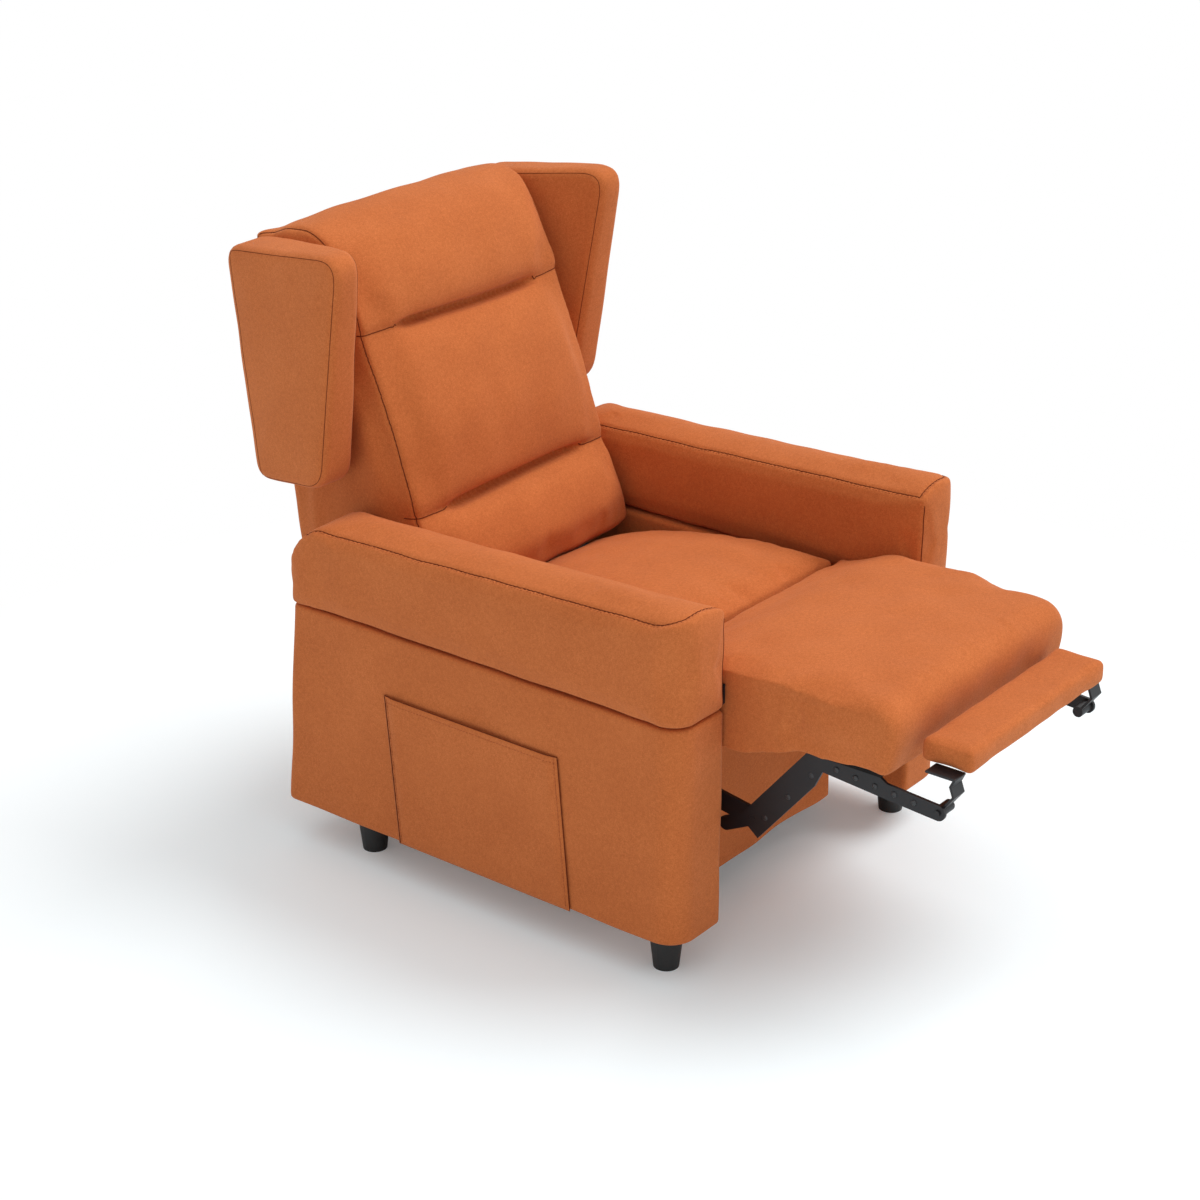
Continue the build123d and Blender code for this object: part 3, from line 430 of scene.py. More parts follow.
def resampled(points, step, count=None):
    """Points spaced evenly along a run of points, a step apart or of a given count."""
    run = np.array([tuple(p) for p in points], float)
    lengths = np.concatenate([[0], np.cumsum(np.linalg.norm(np.diff(run, axis=0), axis=1))])
    count = count or max(2, int(lengths[-1] / step) + 1)
    places = np.linspace(0, lengths[-1], count)
    return np.stack([np.interp(places, lengths, run[:, k]) for k in range(3)], axis=1)


def opened(run, gap):
    """A closed run turned round so that it starts after its widest gap."""
    first = max(range(len(run)), key=lambda k: gap(run[k - 1], run[k]))
    return run[first:] + run[:first]


# Grooves, seams and stitches on a surface
def surface(piece):
    """Search tree of a piece's surface."""
    bm = bmesh.new()
    bm.from_mesh(piece.data)
    tree = BVHTree.FromBMesh(bm)
    bm.free()
    return tree


def laid_on(tree, points, step=path_step):
    """A run of points laid on the nearest surface, and the way that the surface faces at each."""
    found = [tree.find_nearest(Vector(p)) for p in resampled(points, step)]
    return [f[0] for f in found], [f[1] for f in found]


def grooved(piece, path, depth, width, profile=None):
    """Press a sewn groove into a piece along a path. profile scales the depth along it."""
    line = np.array([tuple(p) for p in path])
    depths = np.full(len(line), depth) if profile is None else depth * np.array(profile)
    points = coords(piece)
    out = normals(piece)
    reach = 3 * width
    box = (points > line.min(0) - reach).all(1) & (points < line.max(0) + reach).all(1)
    near = np.nonzero(box)[0]
    for chunk in np.array_split(near, max(1, len(near) // groove_batch)):
        if not len(chunk):
            continue
        gaps = np.linalg.norm(points[chunk, None, :] - line[None, :, :], axis=2)
        closest = gaps.argmin(1)
        gap = gaps[np.arange(len(chunk)), closest]
        press = depths[closest] * np.exp(-((gap / width) ** 2))
        points[chunk] -= out[chunk] * press[:, None]
    set_coords(piece, points)
    return piece


def thread_ring(centre, across, up, radius):
    """Ring of points round the middle of a thread."""
    angles = [2 * math.pi / thread_sides * k for k in range(thread_sides)]
    return [centre + (across * math.cos(a) + up * math.sin(a)) * radius for a in angles]


def thread_faces(base, rings):
    """Sides and ends of a thread of so many rings, whose points are numbered from base."""
    last = base + thread_sides * (rings - 1)
    faces = []
    for low in range(base, last, thread_sides):
        for k in range(thread_sides):
            after = (k + 1) % thread_sides
            faces.append((low + k, low + after, low + thread_sides + after, low + thread_sides + k))
    faces.append(tuple(range(base + thread_sides - 1, base - 1, -1)))
    faces.append(tuple(range(last, last + thread_sides)))
    return faces


def stitched(name, tree, points, side=0.0):
    """A row of short threads along a path, moved sideways on the surface."""
    path, ups = laid_on(tree, points, stitch_pitch)
    verts, faces = [], []
    for i in range(len(path) - 1):
        run = (path[i + 1] - path[i]).normalized()
        across = run.cross((ups[i] + ups[i + 1]).normalized()).normalized()
        spot, up = tree.find_nearest((path[i] + path[i + 1]) / 2 + across * side)[:2]
        middle = spot + up * stitch_lift * thread_radius
        faces += thread_faces(len(verts), len(stitch_shape))
        for along, swell in stitch_shape:
            sink = thread_radius if swell < 1 else 0
            centre = middle + run * along * stitch_length - up * sink
            verts += thread_ring(centre, across, up, thread_radius * swell)
    return new_piece(name, verts, faces)


def shade_cord(name, tree, points, radius=shade_cord_radius):
    """A thin cord sunk half into the surface along a path, for a near-black line of painted shade in the creases
    of seams.
    """
    path, ups = laid_on(tree, points)
    verts = []
    for i, (spot, up) in enumerate(zip(path, ups)):
        run = (path[min(i + 1, len(path) - 1)] - path[max(i - 1, 0)]).normalized()
        verts += thread_ring(spot, run.cross(up).normalized(), up, radius)
    return new_piece(name, verts, thread_faces(0, len(path)))


# Materials
def shader(name, color, roughness):
    material = bpy.data.materials.new(name)
    material.use_nodes = True
    principled = material.node_tree.nodes["Principled BSDF"]
    principled.inputs["Base Color"].default_value = (*color, 1)
    principled.inputs["Roughness"].default_value = roughness
    return material, material.node_tree, principled


def math_node(tree, operation, first, second=None):
    node = tree.nodes.new("ShaderNodeMath")
    node.operation = operation
    for socket, value in zip(node.inputs, (first, second)):
        if value is None:
            continue
        if isinstance(value, (int, float)):
            socket.default_value = value
        else:
            tree.links.new(value, socket)
    return node.outputs[0]


def weighted(tree, *terms):
    """Sum of values, each times its weight."""
    parts = [math_node(tree, "MULTIPLY", value, weight) for value, weight in terms]
    total = parts[0]
    for part in parts[1:]:
        total = math_node(tree, "ADD", total, part)
    return total


def noise_node(tree, vector, scale, detail):
    node = tree.nodes.new("ShaderNodeTexNoise")
    node.inputs["Scale"].default_value = scale
    node.inputs["Detail"].default_value = detail
    tree.links.new(vector, node.inputs["Vector"])
    return node.outputs["Fac"]


def ramp_node(tree, factor, stops):
    node = tree.nodes.new("ShaderNodeValToRGB")
    tree.links.new(factor, node.inputs["Fac"])
    elements = node.color_ramp.elements
    while len(elements) < len(stops):
        elements.new(0.5)
    for element, (place, color) in zip(elements, stops):
        element.position = place
        element.color = (*color, 1)
    return node.outputs["Color"]


def embossed(tree, principled, height, strength, distance):
    """Fine relief on a surface."""
    relief = tree.nodes.new("ShaderNodeBump")
    relief.inputs["Strength"].default_value = strength
    relief.inputs["Distance"].default_value = distance
    tree.links.new(height, relief.inputs["Height"])
    tree.links.new(relief.outputs["Normal"], principled.inputs["Normal"])


def crossed_threads(tree, place):
    """Height of crossing threads on each face, blended by the way that the face is turned."""
    axes = tree.nodes.new("ShaderNodeSeparateXYZ")
    tree.links.new(place.outputs["Object"], axes.inputs[0])
    facing = tree.nodes.new("ShaderNodeSeparateXYZ")
    tree.links.new(place.outputs["Normal"], facing.inputs[0])
    rate = 2 * math.pi / weave_pitch
    ripples = [math_node(tree, "SINE", math_node(tree, "MULTIPLY", axes.outputs[k], rate)) for k in range(3)]
    weights = [math_node(tree, "POWER", math_node(tree, "ABSOLUTE", facing.outputs[k]), 4) for k in range(3)]
    crossings = [math_node(tree, "MULTIPLY", ripples[(k + 1) % 3], ripples[(k + 2) % 3]) for k in range(3)]
    return weighted(tree, *zip(crossings, weights))


def weave(name, dark, middle, light, roughness=0.9, sheen=0.25, bump=0.45):
    """Plain weave upholstery: crossing threads on each face, flecked yarn and slow shading."""
    material, tree, principled = shader(name, middle, roughness)
    place = tree.nodes.new("ShaderNodeTexCoord")
    here = place.outputs["Object"]
    threads = crossed_threads(tree, place)
    fleck = noise_node(tree, here, scale=620, detail=3)
    cloud = noise_node(tree, here, scale=9, detail=3)
    yarn = noise_node(tree, here, scale=190, detail=2)
    tone = weighted(tree, (fleck, 0.55), (cloud, 0.2), (yarn, 0.25), (threads, 0.05))
    color = ramp_node(tree, tone, [(0.3, dark), (0.5, middle), (0.7, light)])
    tree.links.new(color, principled.inputs["Base Color"])
    height = weighted(tree, (threads, 0.5), (fleck, 0.8))
    embossed(tree, principled, height, strength=bump, distance=0.0006)
    principled.inputs["Sheen Weight"].default_value = sheen
    principled.inputs["Sheen Roughness"].default_value = 0.45
    principled.inputs["Sheen Tint"].default_value = (1.0, 0.72, 0.5, 1)
    principled.inputs["Specular IOR Level"].default_value = 0.15
    return material


def coated(name, color, roughness, metallic=0.0, grain=260, relief_height=0.0002):
    """Painted or moulded surface with a fine grain and slight wear in its gloss."""
    material, tree, principled = shader(name, color, roughness)
    here = tree.nodes.new("ShaderNodeTexCoord").outputs["Object"]
    fine = noise_node(tree, here, scale=grain, detail=3)
    slow = noise_node(tree, here, scale=14, detail=4)
    dark = tuple(0.75 * c for c in color)
    light = tuple(1.3 * c for c in color)
    shade = ramp_node(tree, weighted(tree, (fine, 0.5), (slow, 0.5)), [(0.3, dark), (0.7, light)])
    tree.links.new(shade, principled.inputs["Base Color"])
    gloss = tree.nodes.new("ShaderNodeMapRange")
    gloss.inputs["To Min"].default_value = roughness - 0.08
    gloss.inputs["To Max"].default_value = roughness + 0.12
    tree.links.new(slow, gloss.inputs["Value"])
    tree.links.new(gloss.outputs[0], principled.inputs["Roughness"])
    embossed(tree, principled, fine, strength=0.3, distance=relief_height)
    principled.inputs["Metallic"].default_value = metallic
    return material


def grey(level):
    return (level, level, level)


orange = weave("orange_weave", (0.45, 0.111, 0.029), (0.575, 0.155, 0.042), (0.70, 0.208, 0.063), sheen=0.14)
thread = weave("orange_thread", (0.36, 0.085, 0.024), (0.46, 0.115, 0.034), (0.56, 0.15, 0.05), bump=0.2)
# Painted shade: near-black cords stand in for the shade in the creases of seams.
seam_shade = weave(
    "seam_thread", (0.10, 0.018, 0.005), (0.15, 0.028, 0.008), (0.20, 0.042, 0.012), sheen=0.0, bump=0.2
)
# Near-black cloth: the real cloth on the leg-rest board, and also painted shade where it closes the gap behind the
# seat.
dust_cloth_and_gap_shade = weave("black_dust_cloth_and_gap_shade", grey(0.006), grey(0.012), grey(0.02), sheen=0.05)
webbing = weave("black_webbing", grey(0.01), grey(0.02), grey(0.035), sheen=0.05)
black_steel = coated("black_steel", (0.0075, 0.0062, 0.0078), 0.46)
worn_steel = coated("worn_black_steel", (0.03, 0.029, 0.031), 0.34)
black_plastic = coated("black_plastic", grey(0.014), 0.5, grain=420)
bright_steel = coated("bright_steel", (0.45, 0.45, 0.46), 0.32, metallic=1.0)
timber = coated("raw_timber", (0.45, 0.30, 0.17), 0.7, grain=60, relief_height=0.0004)

finishes = {
    "frame_wood": timber, "webbing": webbing, "black_plastic": black_plastic, "bright_steel": bright_steel,
    "black_steel": black_steel, "orange_weave": orange,
}
for entry in frame["record"]["subparts"]:
    node = frame["nodes"][entry["node"]]
    node.data.materials.clear()
    node.data.materials.append(finishes[entry["material_slot"]])
frame["nodes"]["leg_rest_board"].data.materials[0] = dust_cloth_and_gap_shade


# The back: one upholstered form over its frame, with two sewn channels
def back_point(x, u, v):
    """Point u forward of the back's rear face and v up along it."""
    return Vector((
        x,
        back_foot.y + v * math.sin(back_lean) - u * math.cos(back_lean),
        back_foot.z + v * math.cos(back_lean) + u * math.sin(back_lean),
    ))


def back_block(name, half, depths, heights):
    """Block between two depths and two heights of the back."""
    u0, u1 = depths
    plan = ((-half, u0), (half, u0), (half, u1), (-half, u1))
    return lofted(name, [[back_point(x, u, v) for x, u in plan] for v in heights])


def turned(piece, angle):
    """Turn a piece about the foot of the back."""
    turn = Matrix.Translation(back_foot) @ Matrix.Rotation(angle, 4, "X") @ Matrix.Translation(-back_foot)
    piece.data.transform(turn)
    return piece


def filled_out(piece):
    """Fill the channels and the crest towards the sides, where the stuffing stands nearly level."""
    points = coords(piece)
    x = np.abs(points[:, 0]) / back_half
    y, z = (points - np.array(back_foot))[:, 1:].T
    u = z * math.sin(back_lean) - y * math.cos(back_lean)
    v = z * math.cos(back_lean) + y * math.sin(back_lean)
    fill = np.zeros(len(points))
    for channel, height in zip(channels, channel_fill):
        fill += height * np.exp(-(((v - channel) / channel_spread) ** 2))
    u = u + fill * eased(x, start=0.55, run=0.4) * eased(u, start=0.10, run=0.08)
    v = v + crest_lift * eased(v, start=0.55, run=0.12) * x ** 2
    points[:, 1] = back_foot.y + v * math.sin(back_lean) - u * math.cos(back_lean)
    points[:, 2] = back_foot.z + v * math.cos(back_lean) + u * math.sin(back_lean)
    set_coords(piece, points)
    return piece


core = back_block("core", back_half + 0.008, core_u, core_v)
back = joined("back_upholstery", from_nodes("front", "back_cushion"), core)
back = relaxed(remeshed(turned(back, back_lean)), rounds=4)
back = relaxed(pressed(inflated(back, cap=0.008), back_half + 0.009), rounds=4)
back = subdivided(turned(back, -back_lean))
back = filled_out(rumpled(back, size=0.07, height=0.0011, seed=3))

forward = (back_point(0, 1, 0) - back_point(0, 0, 0)).normalized()


def on_back(tree, x, v):
    """Place on the front of the back, seen from straight in front of it."""
    return tree.ray_cast(back_point(x, 0.6, v), -forward)[0]


# Each channel is a wide dip and then a sewn line in it. least is the share of depth kept at the sides.
channel_seams = []
for v in channels:
    xs = np.linspace(-back_half + channel_end, back_half - channel_end, 130)
    heights = v + channel_wander * np.sin(11 * xs + 30 * v)
    deep = 1 / (1 + np.exp((np.abs(xs) - channel_half) / channel_fade))
    for depth, width, least in ((0.006, 0.024, 0.3), (0.022, 0.0062, 0.06)):
        tree = surface(back)
        path = [on_back(tree, x, height) for x, height in zip(xs, heights)]
        grooved(back, path, depth, width, least + (1 - least) * deep)
    ends = len(xs) // 6
    channel_seams += [path[:ends], path[-ends:]]


def edge_spot(tree, side, base, out):
    """Place on the rounded edge between a side of the back and its front or crest."""
    face = tree.ray_cast(base + Vector((side * (back_half - edge_in), 0, 0)) + out * 0.7, -out)[0]
    slant = (out + Vector((side, 0, 0))).normalized()
    return tree.ray_cast(face + Vector((side * edge_in, 0, 0)) + slant * 0.1, -slant)[0]


# Edge seams up the front and over the crest
stations = [(back_point(0, 0, v), forward) for v in np.linspace(edge_seam_v, crest_v, 80)]
crest = back_point(0, crest_u, crest_v)
for angle in np.radians(np.linspace(2, 150, 50)):
    rim = back_point(0, crest_u + math.cos(angle), crest_v + math.sin(angle))
    stations.append((crest, rim - crest))
edge_seams = []
for side in (-1, 1):
    tree = surface(back)
    edge = np.array([edge_spot(tree, side, base, out) for base, out in stations])
    for _ in range(12):
        edge[1:-1] = (edge[:-2] + 2 * edge[1:-1] + edge[2:]) / 4
    grooved(back, edge, depth=0.0022, width=0.004)
    edge_seams.append(edge)
tree = surface(back)
# Near-black cords along the edges and the ends of the channels: painted shade in the creases of seams.
for index, path in enumerate(edge_seams + channel_seams):
    shaded(shade_cord(f"back_seam_{index}", tree, path), seam_shade, "back")
shaded(back, orange, "back")
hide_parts("back_cushion", "rear_cover")

# Wings: firm flared pads, with a near-black cord of painted shade along the sewn edge of each face
wing_corners = [(0.0, wing_low_v), (wing_low_u, wing_low_v), (wing_high_u, wing_high_v), (0.0, wing_high_v)]
wing_run = [(u, v, 0) for u, v in rounded(wing_corners, wing_radii)]
wing_outline = resampled(wing_run, None, 201)[:-1, :2]
wing_drawn = inset(wing_outline, wing_edge)


def wing_ring(outline, outer, depth):
    """One ring of the right wing, at a depth below its inner or its outer face."""
    ring = []
    for u, v in outline:
        if outer:
            bow = wing_bow * math.sin(math.pi * min(1, u / wing_high_u))
            x = back_half + wing_thick + u * wing_outer_flare + bow - depth
        else:
            x = back_half + wing_gap + max(0.0, u - wing_flare_u) * wing_inner_flare + depth
        ring.append(back_point(-x, u, v))
    return ring


def wing_face(outer):
    """Rings from the middle of a face out to its rim and round the edge."""
    middle = wing_drawn.mean(axis=0)
    rings = []
    for share in np.linspace(0.01, 1, 24)[:-1]:
        swell = wing_swell * (1 - share ** 3)
        rings.append(wing_ring(middle + (wing_drawn - middle) * share, outer, -swell))
    for angle in np.linspace(0, math.pi / 2, 6):
        outline = inset(wing_outline, wing_edge * (1 - math.sin(angle)))
        rings.append(wing_ring(outline, outer, wing_edge * (1 - math.cos(angle))))
    return rings


inner_rings, outer_rings = wing_face(False), wing_face(True)
wing = lofted("wing_right_upholstery", inner_rings + outer_rings[::-1])
wing = rumpled(wing, size=0.09, height=0.0006, seed=5)
tree = surface(wing)
sewn = opened([i for i, (u, v) in enumerate(wing_outline) if u > wing_seam_u], lambda a, b: b - a)
# Near-black cords round both faces: painted shade in the creases of the seams.
wing_rows = [
    shade_cord(f"wing_right_seam_{name}", tree, [rings[-4][i] for i in sewn], 0.6 * shade_cord_radius)
    for name, rings in (("inner", inner_rings), ("outer", outer_rings))
]
wing_rows += [mirrored(row, row.name.replace("right", "left")) for row in wing_rows]
for row in wing_rows:
    shaded(row, seam_shade, "back")
wing_twin = mirrored(wing, "wing_left_upholstery")
for piece, node in ((wing, "wing_right"), (wing_twin, "wing_left")):
    shaded(piece, orange, "back")
    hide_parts(node)


# Arms: a covered box below and a padded cap on it
def arm_outline(x0, x1, y0, y1, inner, count=200):
    """Plan of an arm, rounded at its front, as points run round it. inner is the front inner radius."""
    outer, rear, corner = arm_front_radius, arm_rear_radius, arm_corner
    corners = [
        ((x1 - outer, y0 + outer), outer, -90), ((x1 - rear, y1 - rear), rear, 0),
        ((x0 + corner, y1 - corner), corner, 90), ((x0 + inner, y0 + inner), inner, 180),
    ]
    points = []
    for (cx, cy), radius, start in corners:
        for k in range(13):
            angle = math.radians(start + 90 * k / 12)
            points.append((cx + radius * math.cos(angle), cy + radius * math.sin(angle), 0))
    closed = resampled(points + [points[0]], None, count + 1)[:-1]
    return closed[:, :2]


def boxed(name, outline_at, z0, z1, edge):
    """Upright covered box: an outline at each height, with rounded lower and upper edges."""
    turns = 4
    angles = [math.pi / 2 * k / turns for k in range(1, turns + 1)]
    bends = [(edge * (1 - math.sin(a)), edge * (1 - math.cos(a))) for a in angles]
    straight = z1 - z0 - 2 * edge
    count = max(2, int(straight / cover_voxel))
    heights = [(z0 + rise, draw) for rise, draw in reversed(bends)]
    heights += [(z0 + edge + straight * k / count, 0.0) for k in range(count + 1)]
    heights += [(z1 - rise, draw) for rise, draw in bends]
    return lofted(name, [[(x, y, z) for x, y in inset(outline_at(z), draw)] for z, draw in heights])


def panel_outline(z):
    """Plan of the left arm's box at a height. Its rear edge leans forward."""
    share = (z - panel_low.z) / (panel_high.z - panel_low.z)
    rear = panel_high.y - panel_rear_slope * share
    return arm_outline(panel_low.x + 0.0005, panel_high.x, panel_low.y, rear, panel_inner_radius, 320)


panel = boxed("arm_panel_left_upholstery", panel_outline, panel_low.z, panel_high.z - 0.001, panel_edge)
panel = rumpled(panel, size=0.16, height=0.0009, seed=8)
panel_twin = mirrored(panel, "arm_panel_right_upholstery")
for piece, node in ((panel, "arm_panel_left"), (panel_twin, "arm_panel_right")):
    shaded(piece, orange, "chassis")
    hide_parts(node)

pad = from_nodes("arm_pad_left_upholstery", "arm_pad_left")
pad = inflated(relaxed(remeshed(pad), rounds=4), cap=0.004)
points = coords(pad)
points[:, 1] -= pad_forward * np.clip(1 - (points[:, 1] - pad_low.y) / pad_end, 0, 1)
set_coords(pad, points)
pad = rumpled(subdivided(pad), size=0.10, height=0.0007, seed=11)
tree = surface(pad)
rim = []
for x, y in inset(arm_outline(pad_low.x, pad_high.x, pad_low.y, pad_high.y, pad_inner_radius), pad_rim):
    hit = tree.ray_cast(Vector((x, y, 1.0)), Vector((0, 0, -1)))
    if hit[0] and y < pad_high.y - pad_end:
        rim.append(hit[0])
rim = opened(rim, lambda a, b: (b - a).length)
grooved(pad, rim, depth=0.0026, width=0.0042)
tree = surface(pad)
front_heights = np.linspace(pad_low.z + 0.01, pad_high.z - 0.03, 30)
front_line = [(pad_low.x + 0.006, pad_low.y - 0.01, z) for z in front_heights]
# Orange stitches on the rim; near-black cords along the rim and down the inner front corner are painted shade in
# the creases of seams.
pad_rows = [
    (stitched("arm_pad_left_stitches", tree, rim, side=0.004), thread),
    (shade_cord("arm_pad_left_seam", tree, rim), seam_shade),
    (shade_cord("arm_pad_left_front_seam", tree, front_line), seam_shade),
]
for row, colour in pad_rows:
    row_twin = mirrored(row, row.name.replace("left", "right"))
    for piece in (row, row_twin):
        shaded(piece, colour, "chassis")
pad_twin = mirrored(pad, "arm_pad_right_upholstery")
for piece, node in ((pad, "arm_pad_left"), (pad_twin, "arm_pad_right")):
    shaded(piece, orange, "chassis")
    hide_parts(node)


# Pocket on the right arm: a patch with stitched sides and hem, its mouth standing off a little
def pocket_point(s, t, depth):
    """Place on the pocket: s from front to rear, t from bottom to top."""
    slide = lean_y * (2 * t - 1)
    y = pocket_low.y + lean_y + s * (pocket_high.y - pocket_low.y - 2 * lean_y) + slide
    z = pocket_low.z + t * (pocket_high.z - pocket_low.z)
    hold = min(1.0, s / 0.06, (1 - s) / 0.06, t / 0.08)
    gap = pocket_gap + (mouth_gap - pocket_gap) * eased(hold) * (0.35 + 0.65 * t)
    return Vector((-panel_high.x - gap - depth, y, z))


pocket = sheeted("side_pocket_patch", pocket_point, columns=60, rows=40)
tree = surface(pocket)
sewn_up, sewn_along = np.linspace(0.02, 0.99, 30), np.linspace(0.01, 0.99, 40)
tracks = [
    [pocket_point(0.018, t, cloth) for t in sewn_up],
    [pocket_point(0.982, t, cloth) for t in sewn_up],
    [pocket_point(s, 0.962, cloth) for s in sewn_along],
]
rim_up, rim_along = np.linspace(0.0, 1.0, 30), np.linspace(0.0, 1.0, 40)
# Near-black cords round the patch's front, rear and mouth edges: painted shade along its edges.
outline_tracks = [
    [pocket_point(0.001, t, cloth / 2) for t in rim_up],
    [pocket_point(0.993, t, cloth) for t in rim_up],
    [pocket_point(s, 0.999, cloth / 2) for s in rim_along],
]
for index, track in enumerate(tracks):
    grooved(pocket, track, depth=0.0008, width=0.003)
    shaded(stitched(f"pocket_stitches_{index}", tree, track), thread, "chassis")
for index, track in enumerate(outline_tracks):
    shaded(shade_cord(f"pocket_seam_{index}", tree, track), seam_shade, "chassis")
shaded(pocket, orange, "chassis")
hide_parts("side_pocket")

# Seat cushion
seat = from_nodes("seat_upholstery", "seat_cushion")
seat = pressed(inflated(relaxed(remeshed(seat), rounds=5), cap=0.012), panel_low.x - 0.001)
seat = rumpled(subdivided(seat), size=0.09, height=0.0012, seed=14)
shaded(seat, orange, "chassis")
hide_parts("seat_cushion")


# Closing cloth from the rear of the seat to the foot of the back, over the gap that reclining opens
def closing_point(s, t, depth):
    """Place on the closing cloth: s across it, t from the seat to the back."""
    spot = closing_front.lerp(closing_rear, t)
    return Vector(((2 * s - 1) * spot.x, spot.y, spot.z - closing_sag * math.sin(math.pi * t) - depth))


closing = sheeted("closing_cloth", closing_point, columns=48, rows=24)
middle_line = [closing_point(0.5, t, 0) for t in np.linspace(0, 1, 25)]
# Near-black: a closing cloth, whose black also paints the shade inside the gap.
shaded(closing, dust_cloth_and_gap_shade, None)
closing_point(0.5, 0.05, 0)
closing_point(0.5, 0.95, 0)
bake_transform(closing)


# Leg-rest pad: one cover from the front of the seat, over the knee, to a rounded nose
def leg_profile(drop, tuck):
    """Side profile as (y, z) points. drop lowers the top, tuck draws the nose in."""
    top = leg_top - drop
    nose_y = leg_nose_y + tuck
    toe_y = nose_y + leg_toe
    radius = leg_nose_radius
    points = []
    for s in np.linspace(0, 1, 15):
        points.append((between(leg_crease_y, leg_flat_y, s), top - leg_crease * (1 - eased(s)) ** 1.3))
    for s in np.linspace(0, 1, 20)[1:-1]:
        crown = leg_crown * math.sin(math.pi * s)
        points.append((between(leg_flat_y, nose_y + radius, s), top + crown))
    for angle in np.linspace(0, math.pi / 2, 10):
        points.append((nose_y + radius - radius * math.sin(angle), top - radius + radius * math.cos(angle)))
    for s in np.linspace(0, 1, 6)[1:]:
        points.append((nose_y + leg_toe * s ** 2, between(top - radius, leg_base, s)))
    for s in np.linspace(0, 1, 16)[1:]:
        points.append((between(toe_y, leg_under_y, s), leg_base))
    for s in np.linspace(0, 1, 9)[1:]:
        points.append((between(leg_under_y, leg_relief_y, s), leg_base - leg_relief * min(1.0, 2.3 * s)))
    for s in np.linspace(0, 1, 5)[1:]:
        points.append((between(leg_relief_y, leg_crease_y, s), leg_base - leg_relief))
    return points


def leg_width(y):
    """Half width: widest beside the knee, where the cover hides the hinges."""
    return between(cover_half + cover_spare, leg_half, eased(leg_narrow_y - y, run=0.07))


leg_rings = []
for s in np.sin(np.linspace(-math.pi / 2, math.pi / 2, 41)):
    side = max(0.0, (abs(s) - 0.90) / 0.10)
    tuck = leg_corner * side ** 2
    drop = leg_camber * abs(s) ** 2.4 + tuck
    leg_rings.append([(s * leg_width(y), y, z) for y, z in leg_profile(drop, tuck)])
leg = lofted("leg_rest_upholstery", leg_rings)
leg = inflated(relaxed(remeshed(leg), rounds=2), cap=0.005)
leg = pressed(rumpled(subdivided(leg), size=0.09, height=0.0011, seed=17), cover_half)
shaded(leg, orange, None)
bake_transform(leg)
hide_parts("leg_rest_cushion", "knee_cushion")

# Foot pad: a slim firm box with tight edges
foot_size = foot_high - foot_low + foot_spare
bpy.ops.mesh.primitive_cube_add(size=1, location=(foot_low + foot_high) / 2 + foot_spare / 2)
foot = bpy.context.object
foot.name = "foot_pad_upholstery"
foot.data.transform(foot.matrix_world @ Matrix.Diagonal((*foot_size, 1)))
foot.matrix_world = Matrix.Identity(4)
foot = bevelled(foot, width=foot_edge, segments=4)
foot = inflated(relaxed(remeshed(foot, foot_voxel), rounds=1), cap=0.002)
foot = rumpled(subdivided(foot), size=0.08, height=0.0006, seed=20)
shaded(foot, orange, "leg_rest")
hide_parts("foot_pad")


# Rivets along the bars and the push plates of the leg rest
def rivet_head(face, side, y, z, tall):
    """A low dome on a face that looks to a side."""
    angles = [2 * math.pi * k / rivet_sides for k in range(rivet_sides)]
    rings = []
    for width, height in rivet_dome:
        x = face + side * height * tall
        radius = width * rivet_radius
        rings.append([(x, y + radius * math.cos(a), z + side * radius * math.sin(a)) for a in angles])
    return lofted("head", rings)


def riveted(name, node, side, shares, offset, tall, body):
    """A row of rivets along the outer face of a flat steel piece."""
    steel = frame["nodes"][node]
    flat = coords(steel)
    flat = flat[flat[:, 0] * side > 0][:, 1:]
    middle = flat.mean(axis=0)
    along = np.linalg.svd(flat - middle, full_matrices=False)[2][0]
    along = along if along[0] > 0 else -along
    across = np.array((-along[1], along[0]))
    reach = (flat - middle) @ along
    tree = surface(steel)
    heads = []
    for share in shares:
        y, z = middle + along * (reach.min() + share * np.ptp(reach)) + across * offset
        face = tree.ray_cast(Vector((side, y, z)), Vector((-side, 0, 0)))[0].x
        heads.append(rivet_head(face, side, y, z, tall))
    shaded(joined(name, *heads), worn_steel, body)


for side, word in ((-1, "right"), (1, "left")):
    riveted(f"push_plate_{word}_rivets", f"push_plate_{word}", side,
            plate_rivets, plate_rivet_drop, plate_rivet_tall, "push_plates")
    riveted(f"leg_rest_bar_{word}_rivets", "leg_rest_bars", side,
            bar_rivets, 0.0, bar_rivet_tall, "leg_rest")


# Apron below the seat and panel across the rear
def upright_panel(name, node, wave):
    """Upright covered panel, whose lower edge waves a little."""
    low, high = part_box(node)

    def spot(across, up, face_y):
        x = low.x + across * (high.x - low.x)
        hang = 1 - up
        y = face_y + wave * hang * math.sin(x * hem_sway + hem_start) * hem_share
        z = low.z + up * (high.z - low.z) + wave * hang ** 3 * (0.5 + 0.5 * math.sin(x * hem_lift))
        return x, y, z

    columns = int((high.x - low.x) / 0.008)
    rows = int((high.z - low.z) / 0.010)
    piece = bevelled(sheeted(name, spot, columns, rows, (low.y, high.y)), width=0.004, segments=3)
    return rumpled(piece, size=0.12, height=0.0007, seed=23)


apron = upright_panel("front_apron_upholstery", "front_apron", apron_wave)
shaded(apron, orange, "chassis")
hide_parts("front_apron")
rear_panel = upright_panel("rear_panel_upholstery", "rear_panel", 0.0)
shaded(rear_panel, orange, "chassis")
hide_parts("rear_panel")

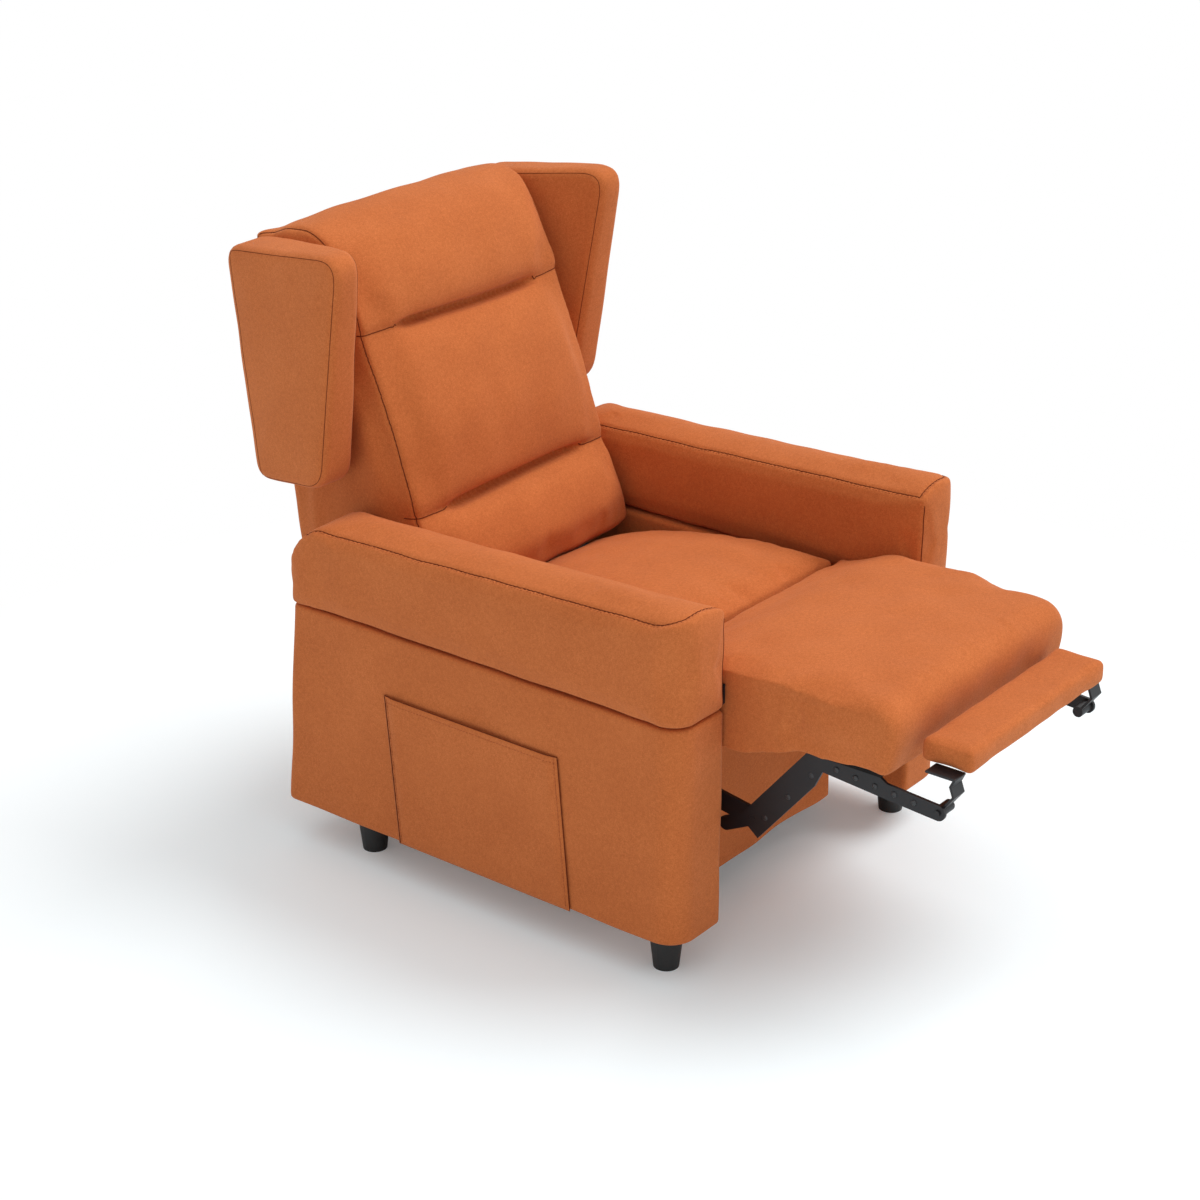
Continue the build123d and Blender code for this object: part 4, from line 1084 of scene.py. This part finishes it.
# Floor: pale and shaded near the chair, white further out
bpy.ops.mesh.primitive_plane_add(size=floor_size)
floor = bpy.context.object
floor.name = "floor"
floor_material, floor_tree, floor_shader = shader("pale_floor", floor_tint, 1.0)
floor_shader.inputs["Specular IOR Level"].default_value = 0.0
floor.data.materials.append(floor_material)
floor_link = floor_tree.links.new
camera_ray = floor_tree.nodes.new("ShaderNodeLightPath").outputs["Is Camera Ray"]

lift = floor_tree.nodes.new("ShaderNodeEmission")
floor_link(math_node(floor_tree, "MULTIPLY", camera_ray, floor_lift), lift.inputs["Strength"])
brighter = floor_tree.nodes.new("ShaderNodeAddShader")
floor_link(floor_shader.outputs[0], brighter.inputs[0])
floor_link(lift.outputs[0], brighter.inputs[1])

reach = floor_tree.nodes.new("ShaderNodeVectorMath")
reach.operation = "LENGTH"
floor_link(floor_tree.nodes.new("ShaderNodeTexCoord").outputs["Object"], reach.inputs[0])
fade = floor_tree.nodes.new("ShaderNodeMapRange")
fade.inputs["From Min"].default_value = floor_near
fade.inputs["From Max"].default_value = floor_far
floor_link(reach.outputs["Value"], fade.inputs["Value"])

glow = floor_tree.nodes.new("ShaderNodeEmission")
glow.inputs["Strength"].default_value = 1.0
whiten = floor_tree.nodes.new("ShaderNodeMixShader")
floor_link(math_node(floor_tree, "MULTIPLY", fade.outputs[0], camera_ray), whiten.inputs[0])
floor_link(brighter.outputs[0], whiten.inputs[1])
floor_link(glow.outputs[0], whiten.inputs[2])
floor_link(whiten.outputs[0], floor_tree.nodes["Material Output"].inputs["Surface"])

# Light from all round, in front of a white backdrop
world = bpy.data.worlds.new("studio")
scene.world = world
world.use_nodes = True
world_tree = world.node_tree
world_link = world_tree.links.new
ambient = world_tree.nodes["Background"]
ambient.inputs["Color"].default_value = (1, 1, 1, 1)
ambient.inputs["Strength"].default_value = 0.56
backdrop = world_tree.nodes.new("ShaderNodeBackground")
backdrop.inputs["Color"].default_value = (1, 1, 1, 1)
rays = world_tree.nodes.new("ShaderNodeLightPath")
seen = math_node(world_tree, "MAXIMUM", rays.outputs["Is Camera Ray"], rays.outputs["Is Glossy Ray"])
seen = math_node(world_tree, "MAXIMUM", seen, rays.outputs["Is Transmission Ray"])
choice = world_tree.nodes.new("ShaderNodeMixShader")
world_link(seen, choice.inputs[0])
world_link(ambient.outputs[0], choice.inputs[1])
world_link(backdrop.outputs[0], choice.inputs[2])
world_link(choice.outputs[0], world_tree.nodes["World Output"].inputs["Surface"])


def sun_light(name, toward, strength, spread):
    """Soft even light that shines along a direction, from a disc of so many degrees."""
    lamp = bpy.data.lights.new(name, "SUN")
    lamp.energy = strength
    lamp.angle = math.radians(spread)
    light = link(name, lamp)
    light.rotation_euler = Vector(toward).to_track_quat("-Z", "Y").to_euler()


sun_light("key", toward=(-0.75, 0.40, -1.15), strength=1.70, spread=36)
sun_light("overhead", toward=(0.1, 0.1, -1), strength=0.50, spread=70)

# Camera
lens = bpy.data.cameras.new("camera")
lens.lens = 79.949
lens.sensor_width = 36.0
camera = link("camera", lens)
camera.location = (-3.27849, -2.38571, 2.25898)
target = Vector((-0.0656, 0.11795, 0.4493))
camera.rotation_euler = (target - camera.location).to_track_quat("-Z", "Y").to_euler()
scene.camera = camera

scene.view_settings.view_transform = "Standard"
